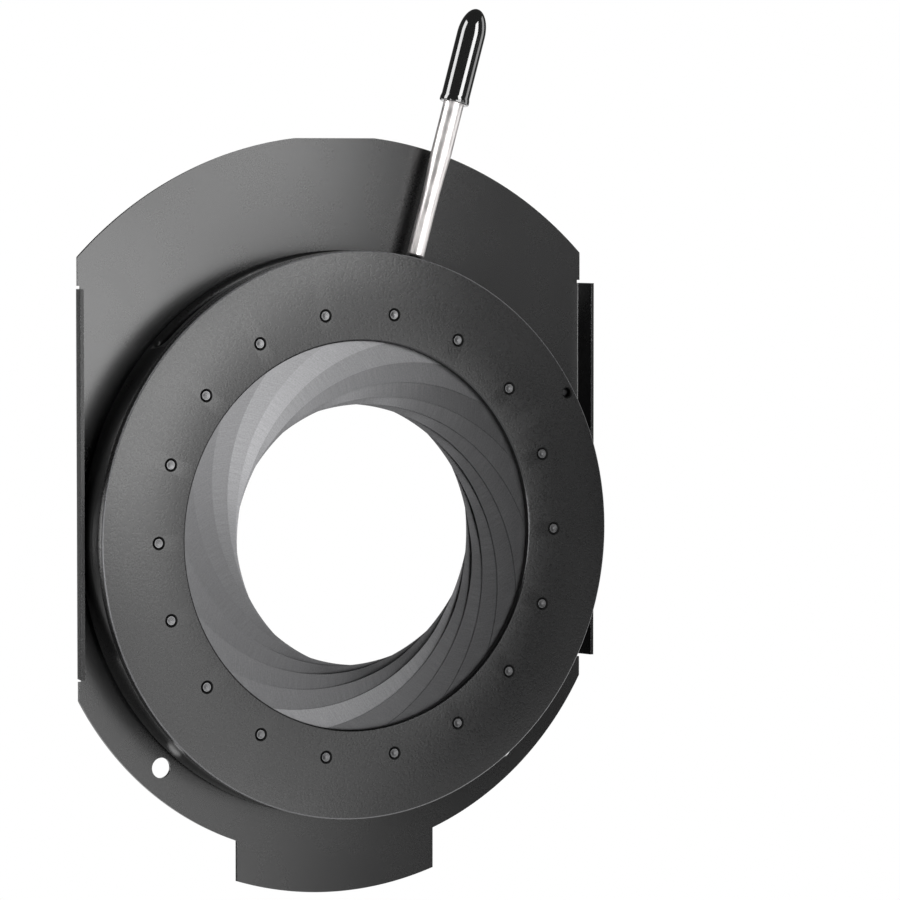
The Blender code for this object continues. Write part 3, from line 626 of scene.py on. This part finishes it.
# Dark oxide on the pins' flanks, and painted shade in the grooves of their ends
PIN_OXIDE_AND_GROOVE_SHADE = grained("pin_black_oxide_and_painted_groove_shade", (0.004, 0.004, 0.004), 0.4, grain=0.1)
SCREW_STEEL = turned_metal("screw_black_oxide", (0.02, 0.02, 0.021), 0.38, metallic=0.6)
ROD_STEEL = turned_metal("rod_bright_steel", (0.82, 0.79, 0.78), 0.40)
CAP_VINYL = grained("cap_black_vinyl", (0.006, 0.006, 0.006), 0.08, specular=1.0, grain=0.03,
                    grain_scale=500, depth=0.004 * MM)
CAP_SHADER = CAP_VINYL.node_tree.nodes["Principled BSDF"]
CAP_SHADER.inputs["Coat Weight"].default_value = 1.0
CAP_SHADER.inputs["Coat Roughness"].default_value = 0.07


# Carrier plate

def arc(radius, start, end, steps):
    """Points on an arc about the axis, both ends included."""
    return [at(radius, start + (end - start) * i / steps) for i in range(steps + 1)]


def half_outline():
    """Right half of the plate's outline, from the top middle down to the bottom middle."""
    top_start = math.asin(TOP_FLAT_HEIGHT / TOP_ARC_RADIUS)
    top_end = math.acos(PLATE_HALF_WIDTH / TOP_ARC_RADIUS)
    low_start = -math.acos(PLATE_HALF_WIDTH / LOWER_ARC_RADIUS)
    low_end = -math.acos(TAB_HALF_WIDTH / LOWER_ARC_RADIUS)
    tab_start = -math.acos(TAB_HALF_WIDTH / TAB_ARC_RADIUS)
    points = [Vector((0, 0, TOP_FLAT_HEIGHT))]
    points += arc(TOP_ARC_RADIUS, top_start, top_end, TOP_ARC_STEPS)
    points += [
        Vector((PLATE_HALF_WIDTH, 0, RAIL_TOP + RELIEF)),
        Vector((RAIL_ROOT, 0, RAIL_TOP + RELIEF)),
        Vector((RAIL_ROOT, 0, RAIL_TOP)),
        Vector((RAIL_ROOT, 0, RAIL_BOTTOM)),
        Vector((RAIL_ROOT, 0, RAIL_BOTTOM - RELIEF)),
        Vector((PLATE_HALF_WIDTH, 0, RAIL_BOTTOM - RELIEF)),
    ]
    points += arc(LOWER_ARC_RADIUS, low_start, low_end, LOWER_ARC_STEPS)
    points += arc(TAB_ARC_RADIUS, tab_start, -math.pi / 2, TAB_ARC_STEPS)
    return points


def bend_rail(bm, side):
    """Fold the plate's side face forward into a rail; side is 1 at +X and -1 at -X."""
    middle = (RAIL_TOP + RAIL_BOTTOM) / 2
    for face in bm.faces:
        spot = face.calc_center_median()
        if max(abs(spot.x - side * RAIL_ROOT), abs(spot.z - middle)) < SAME_PLACE:
            fold = face
    centre = Vector((side * RAIL_ROOT, -PLATE_FRONT - RAIL_BEND_RADIUS, middle))
    bend = math.pi / 2 - RAIL_FLARE
    spun = bmesh.ops.spin(
        bm, geom=[fold], cent=centre, axis=(0, 0, 1), angle=-side * bend,
        steps=BEND_STEPS, use_merge=False, use_normal_flip=False, use_duplicate=False,
    )
    end = [item for item in spun["geom_last"] if isinstance(item, bmesh.types.BMFace)]
    reached = RAIL_BEND_RADIUS * (1 - math.cos(bend))
    straight = (RAIL_DEPTH - reached) / math.cos(RAIL_FLARE)
    along = Vector((side * math.sin(RAIL_FLARE), -math.cos(RAIL_FLARE), 0))
    extrude(bm, end, along * straight)
    bmesh.ops.delete(bm, geom=[fold] + end, context="FACES_ONLY")


def make_plate():
    """The carrier plate: a sheet with two folded rails, the bore, two holes and screw seats."""
    bm = bmesh.new()
    right = half_outline()
    left = [Vector((-point.x, 0, point.z)) for point in right[-2:0:-1]]
    front = bm.faces.new([bm.verts.new(point) for point in right + left])
    extrude(bm, [front], (0, -PLATE_FRONT, 0))
    bend_rail(bm, 1)
    bend_rail(bm, -1)
    plate = add_piece("plate_sheet", mesh_from("plate_sheet", bm, smooth_below=20), PLATE_PAINT)
    edge = add_finish(plate.data, PLATE_EDGE_WEAR_AND_HIGHLIGHT)

    low, high = -CUT_MARGIN, PLATE_FRONT + CUT_MARGIN
    hole_angles = (-PLATE_HOLE_ANGLE, math.pi + PLATE_HOLE_ANGLE)
    holes = [at(PLATE_HOLE_CIRCLE, angle) for angle in hole_angles]
    bm = bmesh.new()
    plug(bm, [Vector()], cylinder(BORE_RADIUS, low, high), RING_STEPS)
    plug(bm, holes, cylinder(PLATE_HOLE_RADIUS, low, high), PLATE_HOLE_STEPS)
    plug(bm, screw_places(), screw_hole(high), SMALL_HOLE_STEPS)
    cut(plate, cutter("plate_cuts", bm))
    # The edge rounds take the worn edge colour with its painted highlight
    break_edges(plate, EDGE_ROUND, edge)
    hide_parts("carrier_plate")
    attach(plate, "carrier")


# Round body

def lever_slot_stations():
    """Sections of the cutter for the lever slot, which has round ends."""
    first = LEVER_OPEN - LEVER_SLOT_MARGIN
    to_closed = (BLADE_CLOSED - BLADE_AT_REST) * RING_PER_BLADE
    last = LEVER_AT_REST + to_closed + LEVER_SLOT_MARGIN
    inner, outer = WALL_INNER - CUT_MARGIN, BODY_RADIUS + CUT_MARGIN
    end = LEVER_SLOT_HALF_HEIGHT / BODY_RADIUS
    middle = last - first - 2 * end
    rises = [
        end * (1 - math.cos(math.pi / 2 * i / LEVER_SLOT_END_STEPS))
        for i in range(LEVER_SLOT_END_STEPS)
    ]
    angles = [first + rise for rise in rises]
    angles += [
        first + end + middle * i / LEVER_SLOT_STEPS for i in range(LEVER_SLOT_STEPS + 1)
    ]
    angles += [last - rise for rise in reversed(rises)]
    stations = []
    for angle in angles:
        from_end = min(angle - first, last - angle, end) / end
        half = LEVER_SLOT_HALF_HEIGHT * math.sqrt(max(0.0, 1 - (1 - from_end) ** 2))
        stations.append([
            at(inner, angle, LEVER_PLANE - half),
            at(outer, angle, LEVER_PLANE - half),
            at(outer, angle, LEVER_PLANE + half),
            at(inner, angle, LEVER_PLANE + half),
        ])
    return stations


def make_housing():
    """The body's floor and wall, with the lever's slot and the screws' holes."""
    top = COVER_RIM_BACK - SEAT_GAP
    bm = bmesh.new()
    revolve(bm, rounded([
        (BORE_RADIUS, HOUSING_BACK),
        (BODY_RADIUS - FOOT_INSET, HOUSING_BACK),
        (BODY_RADIUS, HOUSING_BACK + FOOT_HEIGHT),
        (BODY_RADIUS, top),
        (WALL_INNER, top),
        (WALL_INNER, HOUSING_FLOOR),
        (BORE_RADIUS, HOUSING_FLOOR),
    ], EDGE_ROUND), RING_STEPS)
    housing = add_piece("housing_body", mesh_from("housing_body", bm), WALL_FINISH)
    bm = bmesh.new()
    loft(bm, lever_slot_stations())
    slot = cutter("slot_cut", bm)
    bm = bmesh.new()
    plug(bm, screw_places(), screw_hole(COVER_RIM_BACK + CUT_MARGIN), SMALL_HOLE_STEPS)
    cut(housing, slot, cutter("housing_holes", bm))
    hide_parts("housing")
    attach(housing, "carrier")


def make_cover():
    """The flat front ring, with countersunk pivot holes and the screws' tapped holes."""
    bm = bmesh.new()
    revolve(bm, rounded([
        (BORE_RADIUS, COVER_WEB_BACK),
        (WALL_INNER, COVER_WEB_BACK),
        (WALL_INNER, COVER_RIM_BACK),
        (BODY_RADIUS, COVER_RIM_BACK),
        (BODY_RADIUS, FACE - EDGE_CHAMFER),
        (BODY_RADIUS - EDGE_CHAMFER, FACE),
        (BORE_RADIUS + BORE_CHAMFER, FACE),
        (BORE_RADIUS, FACE - BORE_CHAMFER),
    ], COVER_ROUND), RING_STEPS)
    cover = add_piece("cover_ring", mesh_from("cover_ring", bm, smooth_below=25), RING_FINISH)
    outer_highlight = add_finish(cover.data, RING_EDGE_HIGHLIGHT)
    dark = add_finish(cover.data, HOLE_SHADE)
    inner_edge = add_finish(cover.data, BORE_EDGE)
    low, high = COVER_RIM_BACK - CUT_MARGIN, FACE + CUT_MARGIN
    bm = bmesh.new()
    pivots = [at(PIVOT_CIRCLE, angle) for angle in pivot_angles()]
    screws = screw_places()
    for spots, radius, sink in (
        (pivots, PIN_RADIUS, PIN_MOUTH),
        (screws[:OPEN_SCREW_HOLES], SCREW_RADIUS, PIN_COUNTERSINK),
    ):
        bore = radius + PIN_CLEARANCE
        mouth = bore + sink
        plug(bm, spots, [
            (0, low), (bore, low), (bore, FACE - sink), (mouth, FACE), (mouth, high), (0, high),
        ], PIN_STEPS)
    blind = cylinder(SCREW_RADIUS + PIN_CLEARANCE, low, FACE - SCREW_HOLE_SKIN)
    plug(bm, screws[OPEN_SCREW_HOLES:], blind, PIN_STEPS)
    holes = cutter("cover_holes", bm)
    for material in cover.data.materials:
        holes.data.materials.append(material)
    # The holes' walls and countersinks take the painted shade
    for face in holes.data.polygons:
        face.material_index = dark
    cut(cover, holes)
    for face in cover.data.polygons:
        radius = math.hypot(face.center.x, face.center.z)
        slanted = LEAST_SLANT < abs(face.normal.y) < MOST_SLANT
        if slanted and radius < BORE_RADIUS + BORE_CHAMFER:
            face.material_index = inner_edge
        # The outer chamfer takes the painted highlight
        elif slanted and radius > BODY_RADIUS - EDGE_CHAMFER:
            face.material_index = outer_highlight
        # The bore's wall takes the painted shade
        elif radius < BORE_RADIUS + SEAT_GAP:
            face.material_index = dark
    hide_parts("front_cover")
    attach(cover, "carrier")


def threaded(bm, start, end, radius, place):
    """A screw thread of triangular section between two forward distances, with blunt ends."""
    rows = int((end - start) / THREAD_PITCH * THREAD_ROWS)
    grid = []
    for row in range(rows + 1):
        forward = start + (end - start) * row / rows
        fade = min(1, row / THREAD_RUN_OUT, (rows - row) / THREAD_RUN_OUT)
        loop = []
        for step in range(SMALL_HOLE_STEPS):
            share = step / SMALL_HOLE_STEPS
            phase = (forward / THREAD_PITCH - share) % 1
            depth = THREAD_DEPTH * (1 - fade * abs(2 * phase - 1))
            loop.append(bm.verts.new(at(radius - depth, FULL_TURN * share, forward)))
        grid.append(loop)
    for here, there in zip(grid, grid[1:]):
        for i in range(SMALL_HOLE_STEPS):
            j = (i + 1) % SMALL_HOLE_STEPS
            bm.faces.new((here[i], here[j], there[j], there[i]))
    bm.faces.new(grid[0])
    bm.faces.new(grid[-1])
    bmesh.ops.transform(bm, matrix=place, verts=bm.verts)


def make_screws():
    """Three countersunk screws with hexagon sockets, put in from behind."""
    cone_end = SCREW_FLUSH + SCREW_HEAD_RADIUS - SCREW_RADIUS
    tip = FACE - SCREW_TIP_RECESS
    bm = bmesh.new()
    revolve(bm, rounded([
        (0, SCREW_FLUSH),
        (SCREW_HEAD_RADIUS, SCREW_FLUSH),
        (SCREW_RADIUS, cone_end),
        (SCREW_RADIUS, tip - SCREW_RADIUS * SCREW_POINT),
        (SCREW_RADIUS * SCREW_POINT_TIP, tip),
        (0, tip),
    ], SCREW_ROUND), SCREW_STEPS)
    head = add_piece("screw_master", mesh_from("screw_master", bm, smooth_below=30), SCREW_STEEL)
    bm = bmesh.new()
    low, high = SCREW_FLUSH - CUT_MARGIN, SCREW_FLUSH + SCREW_SOCKET_DEPTH
    revolve(bm, cylinder(SCREW_SOCKET_RADIUS, low, high), HEXAGON)
    cut(head, cutter("socket_cut", bm))
    mesh = head.data
    bpy.data.objects.remove(head)
    for number, place in enumerate(screw_places(), 1):
        placed = mesh.copy()
        placed.transform(Matrix.Translation(place))
        screw = add_piece(f"screw_{number}", placed, SCREW_STEEL)
        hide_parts(f"clamp_screw_{number}")
        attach(screw, "carrier")


# Blades

def blade_ends():
    """Round ends of an open blade about the axis: centre, and direction into the blade."""
    stud_angle = stud_place(0)[1]
    return (
        (at(BLADE_MIDDLE_RADIUS, 0), at(1, math.pi / 2)),
        (at(BLADE_MIDDLE_RADIUS, stud_angle), at(1, stud_angle - math.pi / 2)),
    )


def closed_axis():
    """Where the optical axis lies in an open blade's frame once the blade has closed."""
    pivot = at(PIVOT_CIRCLE, 0)
    return pivot - turned(-BLADE_CLOSED) @ pivot


def blade_reach():
    """First and last ray from the closed axis that touch a blade, from its pivot's ray on."""
    reach = []
    for (centre, _), side in zip(blade_ends(), (-1, 1)):
        to_centre = centre - closed_axis()
        angle = math.atan2(to_centre.z, to_centre.x)
        if side > 0:
            angle %= FULL_TURN
        half = math.asin(BLADE_END_RADIUS / to_centre.length)
        reach.append((angle + side * half + BLADE_CLOSED, half))
    return reach


def ring_crossing(start, ray, radius, centre=None):
    """Where a ray enters and leaves a circle, as distances along it; None if it misses."""
    offset = start - (centre or Vector())
    along = offset.dot(ray)
    square = along ** 2 + radius ** 2 - offset.length_squared
    if square < -ROUNDING_SQUARED:
        return None
    half = math.sqrt(max(square, 0))
    return -along - half, -along + half


def blade_span(ray):
    """Nearest and furthest distance along a ray from the closed axis that a blade covers."""
    start = closed_axis()
    low = ring_crossing(start, ray, BLADE_INNER_RADIUS)[1]
    high = ring_crossing(start, ray, BLADE_OUTER_RADIUS)[1]
    marks = []
    for centre, inward in blade_ends():
        rise, slope = start.dot(inward), ray.dot(inward)
        limit = -rise / slope if abs(slope) > ROUNDING else math.inf * rise
        if slope < 0:
            high = min(high, limit)
        else:
            low = max(low, limit)
    if low < high:
        marks += [low, high]
    for centre, _ in blade_ends():
        chord = ring_crossing(start, ray, BLADE_END_RADIUS, centre)
        if chord and chord[0] > 0:
            marks += chord
    return min(marks), max(marks)


def end_point(ray):
    """The single distance at which a ray just touches the nearer round end."""
    ends = [centre - closed_axis() for centre, _ in blade_ends()]
    nearest = max(ends, key=lambda end: end.normalized().dot(ray))
    distance = nearest.dot(ray)
    return distance, distance


def blade_stations():
    """Sections of a blade about its own pivot, along rays from the closed axis."""
    pivot = at(PIVOT_CIRCLE, 0)
    (first, first_half), (last, last_half) = blade_reach()
    start, stop = first + TIP_RAYS[-1] * first_half, last - TIP_RAYS[-1] * last_half
    turns = [first + share * first_half for share in TIP_RAYS]
    turns += [
        index * BLADE_SLICE
        for index in range(math.ceil(start / BLADE_SLICE), math.floor(stop / BLADE_SLICE) + 1)
    ]
    turns += [last - share * last_half for share in reversed(TIP_RAYS)]
    stations = []
    for turn in turns:
        ray = at(1, turn - BLADE_CLOSED)
        share = min(max((turn - first) / first_half, 0), max((last - turn) / last_half, 0), 1)
        low, high = blade_span(ray) if share > SAME_PLACE else end_point(ray)
        root = closed_axis() - pivot
        front = Vector((0, -(BLADE_TOP - BLADE_DROP * turn), 0))
        back = front + Vector((0, BLADE_THICKNESS, 0))
        near, far = root + ray * low, root + ray * high
        stations.append([near + front, far + front, far + back, near + back])
    return stations


def stud_sweep():
    """Angle that a blade spans about its closed axis, from its pivot to its drive stud."""
    return stud_place(BLADE_CLOSED)[1]


BLADE_TOP = COVER_WEB_BACK - BLADE_TOP_GAP + BLADE_DROP * blade_reach()[0][0]
BLADE_BOTTOM = BLADE_TOP - BLADE_THICKNESS - BLADE_DROP * blade_reach()[1][0]
ACTUATOR_FRONT = BLADE_BOTTOM - BLADE_TO_RING
ACTUATOR_BACK = HOUSING_FLOOR + RUNNING_GAP
LEVER_PLANE = (ACTUATOR_FRONT + ACTUATOR_BACK) / 2


def blade_master():
    """One blade about its pivot, open, with its stud."""
    bm = bmesh.new()
    loft(bm, blade_stations())
    foil = add_piece("foil_master", mesh_from("foil_master", bm), BLADE_STEEL)
    radius, angle = stud_place(0)
    stud = at(radius, angle) - at(PIVOT_CIRCLE, 0)
    stud_front = BLADE_TOP - BLADE_DROP * stud_sweep()
    root = stud_front - BLADE_THICKNESS / 2
    tip = stud_front - BLADE_THICKNESS - STUD_LENGTH
    bm = bmesh.new()
    revolve(bm, cylinder(STUD_RADIUS, tip, root), STUD_STEPS, Matrix.Translation(stud))
    stud_tool = add_piece("stud_tool", mesh_from("stud_tool", bm), BLADE_STEEL)
    union = foil.modifiers.new("rivet", "BOOLEAN")
    union.operation = "UNION"
    union.solver = "EXACT"
    union.object = stud_tool
    apply_all(foil)
    bpy.data.objects.remove(stud_tool)
    mesh = foil.data
    bpy.data.objects.remove(foil)
    return mesh


def map_grain(mesh):
    """Flat map in millimetres whose first axis runs along the steel's grain."""
    layer = mesh.uv_layers.new(name="grain")
    cos, sin = math.cos(GRAIN_ANGLE), math.sin(GRAIN_ANGLE)
    for loop in mesh.loops:
        x, z = mesh.vertices[loop.vertex_index].co.xz
        layer.data[loop.index].uv = ((x * cos + z * sin) / MM, (z * cos - x * sin) / MM)


def pin_mesh():
    """A turned pin: a dark shank, and a bright end with a centre dimple and tool grooves, which are
    painted dark as shade.
    """
    top = FACE - PIN_FACE_GAP
    base = BLADE_TOP + SEAT_GAP
    section = list(PIN_RIM)
    for low, high in reversed(TOOL_GROOVES):
        section += [(high + GROOVE_SIDE, 0), (high, 1), (low, 1), (low - GROOVE_SIDE, 0)]
    section += PIN_DIMPLE
    profile = [
        (0, base),
        (PIN_RADIUS * PIN_FOOT, base),
        (PIN_RADIUS, base + PIN_FOOT_RISE),
        (PIN_RADIUS, top - PIN_DOME),
        (PIN_HEAD_RADIUS * PIN_SHOULDER, top - PIN_DOME * PIN_SHOULDER_DROP),
    ]
    for share, grooves in section:
        drop = PIN_DISH * (1 - share) + PIN_GROOVE * grooves
        profile.append((PIN_HEAD_RADIUS * share, top - drop))
    bm = bmesh.new()
    revolve(bm, profile, PIN_STEPS)
    mesh = mesh_from("pin_master", bm, smooth_below=30)
    mesh.materials.append(PIN_STEEL)
    black = add_finish(mesh, PIN_OXIDE_AND_GROOVE_SHADE)
    layer = mesh.uv_layers.new(name="grain")
    lowest = top - PIN_DISH - PIN_GROOVE * PIN_DEEPEST
    for face in mesh.polygons:
        middle = math.atan2(face.center.z, face.center.x)
        share = math.hypot(face.center.x, face.center.z) / PIN_HEAD_RADIUS
        on_end = -face.center.y > lowest and share < PIN_BRIGHT
        # The flank is dark oxide; the tool grooves are painted dark as shade
        if not on_end or any(low < share < high for low, high in TOOL_GROOVES):
            face.material_index = black
        for index in face.loop_indices:
            spot = mesh.vertices[mesh.loops[index].vertex_index].co
            turn = math.atan2(spot.z, spot.x) - middle
            turn = middle + (turn + math.pi) % FULL_TURN - math.pi
            layer.data[index].uv = (turn, math.hypot(spot.x, spot.z) / MM)
    return mesh


def add_painted_highlight(mesh, angle):
    """Give a blade its painted highlight: a colour tone set by its place round the axis, lighter
    where its rolled grain would catch the softbox.
    """
    tone = BLADE_DULL
    for middle, spread, gain in BLADE_PAINTED_HIGHLIGHTS:
        away = (angle - middle + math.pi) % FULL_TURN - math.pi
        tone += BLADE_DULL * gain * math.exp(-(away / spread) ** 2)
    layer = mesh.attributes.new("painted_highlight", "FLOAT", "POINT")
    for item in layer.data:
        item.value = tone


def make_blades():
    """The 18 blades and their pins, each in its place at rest."""
    foil, pin = blade_master(), pin_mesh()
    map_grain(foil)
    for number, angle in enumerate(pivot_angles(), 1):
        place = Matrix.Translation(at(PIVOT_CIRCLE, angle)) @ turned(angle + BLADE_AT_REST)
        for kind, node, master, material, slot in (
            ("foil", "blade", foil, BLADE_STEEL, "blade_steel"),
            ("pin", "pivot_pin", pin, PIN_STEEL, "pin_steel"),
        ):
            mesh = master.copy()
            mesh.transform(place)
            if kind == "foil":
                add_painted_highlight(mesh, angle)
            piece = add_piece(f"{kind}_{number:02d}", mesh, material)
            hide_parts(f"{node}_{number:02d}")
            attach(piece, f"blade_{number:02d}")


# Actuator ring and lever

def stud_run():
    """The stud's places in the actuator ring, from blades open to blades closed."""
    run = []
    for step in range(STUD_RUN_STEPS + 1):
        blade_angle = BLADE_CLOSED * step / STUD_RUN_STEPS
        radius, angle = stud_place(blade_angle)
        run.append((radius, angle - blade_angle * RING_PER_BLADE))
    return run


def slot_shape():
    """Centre angle, half width, inner and outer radius of a slot that clears the run."""
    run = stud_run()
    angles = [angle for radius, angle in run]
    centre = (min(angles) + max(angles)) / 2
    sideways = max(abs(radius * math.sin(angle - centre)) for radius, angle in run)
    half_width = sideways + SLOT_CLEARANCE
    inner = min(radius for radius, angle in run) - SLOT_CLEARANCE
    outer = max(radius for radius, angle in run) + half_width
    return centre, half_width, inner, outer


def add_slot(bm, angle, half_width, inner, outer):
    """A blind slot that runs straight out from the axis, with round ends."""
    along, across = at(1, angle), at(1, angle + math.pi / 2)
    rim = []
    for middle, start in ((outer - half_width, -math.pi / 2), (inner + half_width, math.pi / 2)):
        for step in range(SLOT_END_STEPS + 1):
            turn = start + math.pi * step / SLOT_END_STEPS
            spot = along * (middle + half_width * math.cos(turn))
            rim.append(spot + across * half_width * math.sin(turn))
    layers = [
        [bm.verts.new(spot + Vector((0, -forward, 0))) for spot in rim]
        for forward in (ACTUATOR_FRONT - SLOT_DEPTH, ACTUATOR_FRONT + CUT_MARGIN)
    ]
    bm.faces.new(layers[0])
    bm.faces.new(layers[1])
    for i in range(len(rim)):
        j = (i + 1) % len(rim)
        bm.faces.new((layers[0][i], layers[0][j], layers[1][j], layers[1][i]))


def lever_stand():
    """Turns the Y axis, running forward, into the lever's line out from the axis."""
    stand = Matrix.Rotation(LEVER_AT_REST, 4, "Y").inverted() @ Matrix.Rotation(math.pi / 2, 4, "Z")
    return Matrix.Translation((0, -LEVER_PLANE, 0)) @ stand


def make_actuator():
    """The ring that drives the blades, with their slots and the lever's tapped hole."""
    outer = WALL_INNER - RUNNING_GAP
    inner = BORE_RADIUS + RING_BORE_GAP
    bm = bmesh.new()
    revolve(bm, rounded([
        (inner, ACTUATOR_BACK), (outer, ACTUATOR_BACK),
        (outer, ACTUATOR_FRONT), (inner, ACTUATOR_FRONT),
    ], EDGE_ROUND), RING_STEPS)
    ring = add_piece("drive_ring", mesh_from("drive_ring", bm), WALL_FINISH)
    centre, half_width, slot_inner, slot_outer = slot_shape()
    rest = BLADE_AT_REST * RING_PER_BLADE
    bm = bmesh.new()
    for angle in pivot_angles():
        add_slot(bm, angle + centre + rest, half_width, slot_inner, slot_outer)
    slots = cutter("slots_cut", bm)
    low, high = outer - LEVER_STUD_GRIP - SEAT_GAP, outer + CUT_MARGIN
    tap = cylinder(LEVER_STUD_RADIUS + PIN_CLEARANCE, low, high)
    bm = bmesh.new()
    revolve(bm, tap, SMALL_HOLE_STEPS, lever_stand())
    cut(ring, slots, cutter("tap_cut", bm))
    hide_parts("actuator_ring")
    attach(ring, "actuator")


def lever_piece(name, node, bm, material, smooth_below=35):
    """A piece of the lever, which turns with the actuator ring."""
    piece = add_piece(name, mesh_from(name, bm, smooth_below), material)
    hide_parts(node)
    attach(piece, "actuator")


def make_lever():
    """The lever's stud, rod and cap, from the ring outwards."""
    stud_start = WALL_INNER - RUNNING_GAP - LEVER_STUD_GRIP
    stud_end = ROD_START + LEVER_STUD_GRIP
    bm = bmesh.new()
    threaded(bm, stud_start, stud_end, LEVER_STUD_RADIUS, lever_stand())
    lever_piece("lever_screw", "lever_stud", bm, SCREW_STEEL, smooth_below=60)

    bore = LEVER_STUD_RADIUS + PIN_CLEARANCE
    bm = bmesh.new()
    revolve(bm, rounded([
        (0, stud_end + SEAT_GAP),
        (bore, stud_end + SEAT_GAP),
        (bore, ROD_START),
        (ROD_THIN_RADIUS - ROD_CHAMFER, ROD_START),
        (ROD_THIN_RADIUS, ROD_START + ROD_CHAMFER),
        (ROD_THIN_RADIUS, ROD_TAPER_START),
        (ROD_THICK_RADIUS, ROD_TAPER_END),
        (ROD_THICK_RADIUS, ROD_END - ROD_CHAMFER),
        (ROD_THICK_RADIUS - ROD_CHAMFER, ROD_END),
        (0, ROD_END),
    ], EDGE_ROUND), LEVER_STEPS, lever_stand())
    lever_piece("lever_shaft", "lever_rod", bm, ROD_STEEL)

    bore = ROD_THICK_RADIUS + SEAT_GAP
    nose = [
        (CAP_RADIUS * math.cos(turn), CAP_END - CAP_NOSE + CAP_NOSE * math.sin(turn))
        for turn in (math.pi / 2 * i / CAP_NOSE_STEPS for i in range(CAP_NOSE_STEPS + 1))
    ]
    nose[-1] = (0, CAP_END)
    bm = bmesh.new()
    revolve(bm, rounded([
        (0, ROD_END + SEAT_GAP),
        (bore, ROD_END + SEAT_GAP),
        (bore, CAP_START),
        *((radius, CAP_START + rise) for radius, rise in CAP_ROLL),
    ], CAP_ROUND) + nose, LEVER_STEPS, lever_stand())
    lever_piece("lever_grip", "lever_cap", bm, CAP_VINYL, smooth_below=50)


# Stage, light and camera

def stage_white():
    """Pale matter that shows as white to the camera and in reflections."""
    made, tree, shader = finish("stage_white", (STAGE_TONE,) * 3, STAGE_ROUGHNESS)
    path = tree.nodes.new("ShaderNodeLightPath")
    seen = math_node(tree, "MAXIMUM", path.outputs["Is Camera Ray"], path.outputs["Is Glossy Ray"])
    seen = math_node(tree, "MAXIMUM", seen, path.outputs["Is Transmission Ray"])
    glow = math_node(tree, "MULTIPLY", seen, STAGE_GLOW)
    shader.inputs["Emission Color"].default_value = (1, 1, 1, 1)
    tree.links.new(glow, shader.inputs["Emission Strength"])
    return made


def make_floor():
    """A floor well below the part."""
    bm = bmesh.new()
    bm.faces.new([
        bm.verts.new((across, away, FLOOR_HEIGHT)) for across, away in (
            (-FLOOR_REACH, -FLOOR_REACH), (FLOOR_REACH, -FLOOR_REACH),
            (FLOOR_REACH, FLOOR_BACK), (-FLOOR_REACH, FLOOR_BACK),
        )
    ])
    mesh = bpy.data.meshes.new("floor")
    bm.to_mesh(mesh)
    bm.free()
    add_piece("floor", mesh, stage_white())


def make_world():
    """A dim room that is white to the camera, with a white backdrop for mirrors behind the part."""
    world = bpy.data.worlds.new("studio")
    bpy.context.scene.world = world
    world.use_nodes = True
    tree = world.node_tree
    path = tree.nodes.new("ShaderNodeLightPath")
    mirrored = math_node(tree, "MAXIMUM", path.outputs["Is Glossy Ray"],
                         path.outputs["Is Transmission Ray"])
    toward = tree.nodes.new("ShaderNodeVectorMath")
    toward.operation = "DOT_PRODUCT"
    toward.inputs[1].default_value = (CAMERA_TARGET - CAMERA_PLACE).normalized()
    tree.links.new(tree.nodes.new("ShaderNodeTexCoord").outputs["Generated"], toward.inputs[0])
    backdrop = remap(tree, toward.outputs["Value"], 0, 1, BACKDROP_EDGE,
                     BACKDROP_EDGE + BACKDROP_BLUR)
    white = math_node(tree, "MAXIMUM", path.outputs["Is Camera Ray"],
                      math_node(tree, "MULTIPLY", mirrored, backdrop))
    level = remap(tree, white, WORLD_LEVEL, 1, 0, 1)
    back = tree.nodes["Background"]
    back.inputs["Color"].default_value = (1, 1, 1, 1)
    tree.links.new(level, back.inputs["Strength"])


def add_lamp(name, place, aim, size, radiance):
    """An area lamp that looks equally bright whatever its size; sizes in millimetres."""
    data = bpy.data.lights.new(name, "AREA")
    data.shape = "RECTANGLE"
    data.size, data.size_y = (side * MM for side in size)
    data.energy = radiance * math.pi * data.size * data.size_y
    lamp = bpy.data.objects.new(name, data)
    bpy.context.scene.collection.objects.link(lamp)
    lamp.location = place
    lamp.rotation_euler = (aim - place).to_track_quat("-Z", "Y").to_euler()
    lamp.visible_camera = False


def make_lamps():
    """The softbox, which the part's flat front mirrors to the camera, and the other lamps."""
    to_camera = (CAMERA_PLACE - CAMERA_TARGET).normalized()
    out = Vector((-to_camera.x, to_camera.y, -to_camera.z))
    right = Vector((-out.y, out.x, 0)).normalized()
    up = out.cross(right)
    for layer, (name, ((across, rise), size, radiance)) in enumerate(SOFTBOX.items()):
        distance = SOFTBOX_DISTANCE + layer * SOFTBOX_LAYER
        place = out * distance + right * across * MM + up * rise * MM
        add_lamp(name, place, place - out, size, radiance)
    for name, (place, aim, size, radiance) in LAMPS.items():
        add_lamp(name, Vector(place) * MM, Vector(aim) * MM, size, radiance)


def make_camera():
    """The camera that took the photograph."""
    data = bpy.data.cameras.new("camera")
    data.lens = CAMERA_LENS
    data.sensor_width = CAMERA_SENSOR
    data.sensor_fit = "HORIZONTAL"
    data.clip_start, data.clip_end = CAMERA_CLIP
    camera = bpy.data.objects.new("camera", data)
    bpy.context.scene.collection.objects.link(camera)
    camera.location = CAMERA_PLACE
    camera.rotation_euler = (CAMERA_TARGET - CAMERA_PLACE).to_track_quat("-Z", "Y").to_euler()
    bpy.context.scene.camera = camera


make_camera()
make_plate()
make_housing()
make_cover()
make_screws()
make_blades()
make_actuator()
make_lever()
make_floor()
make_world()
make_lamps()
bpy.context.scene.view_settings.view_transform = "Standard"
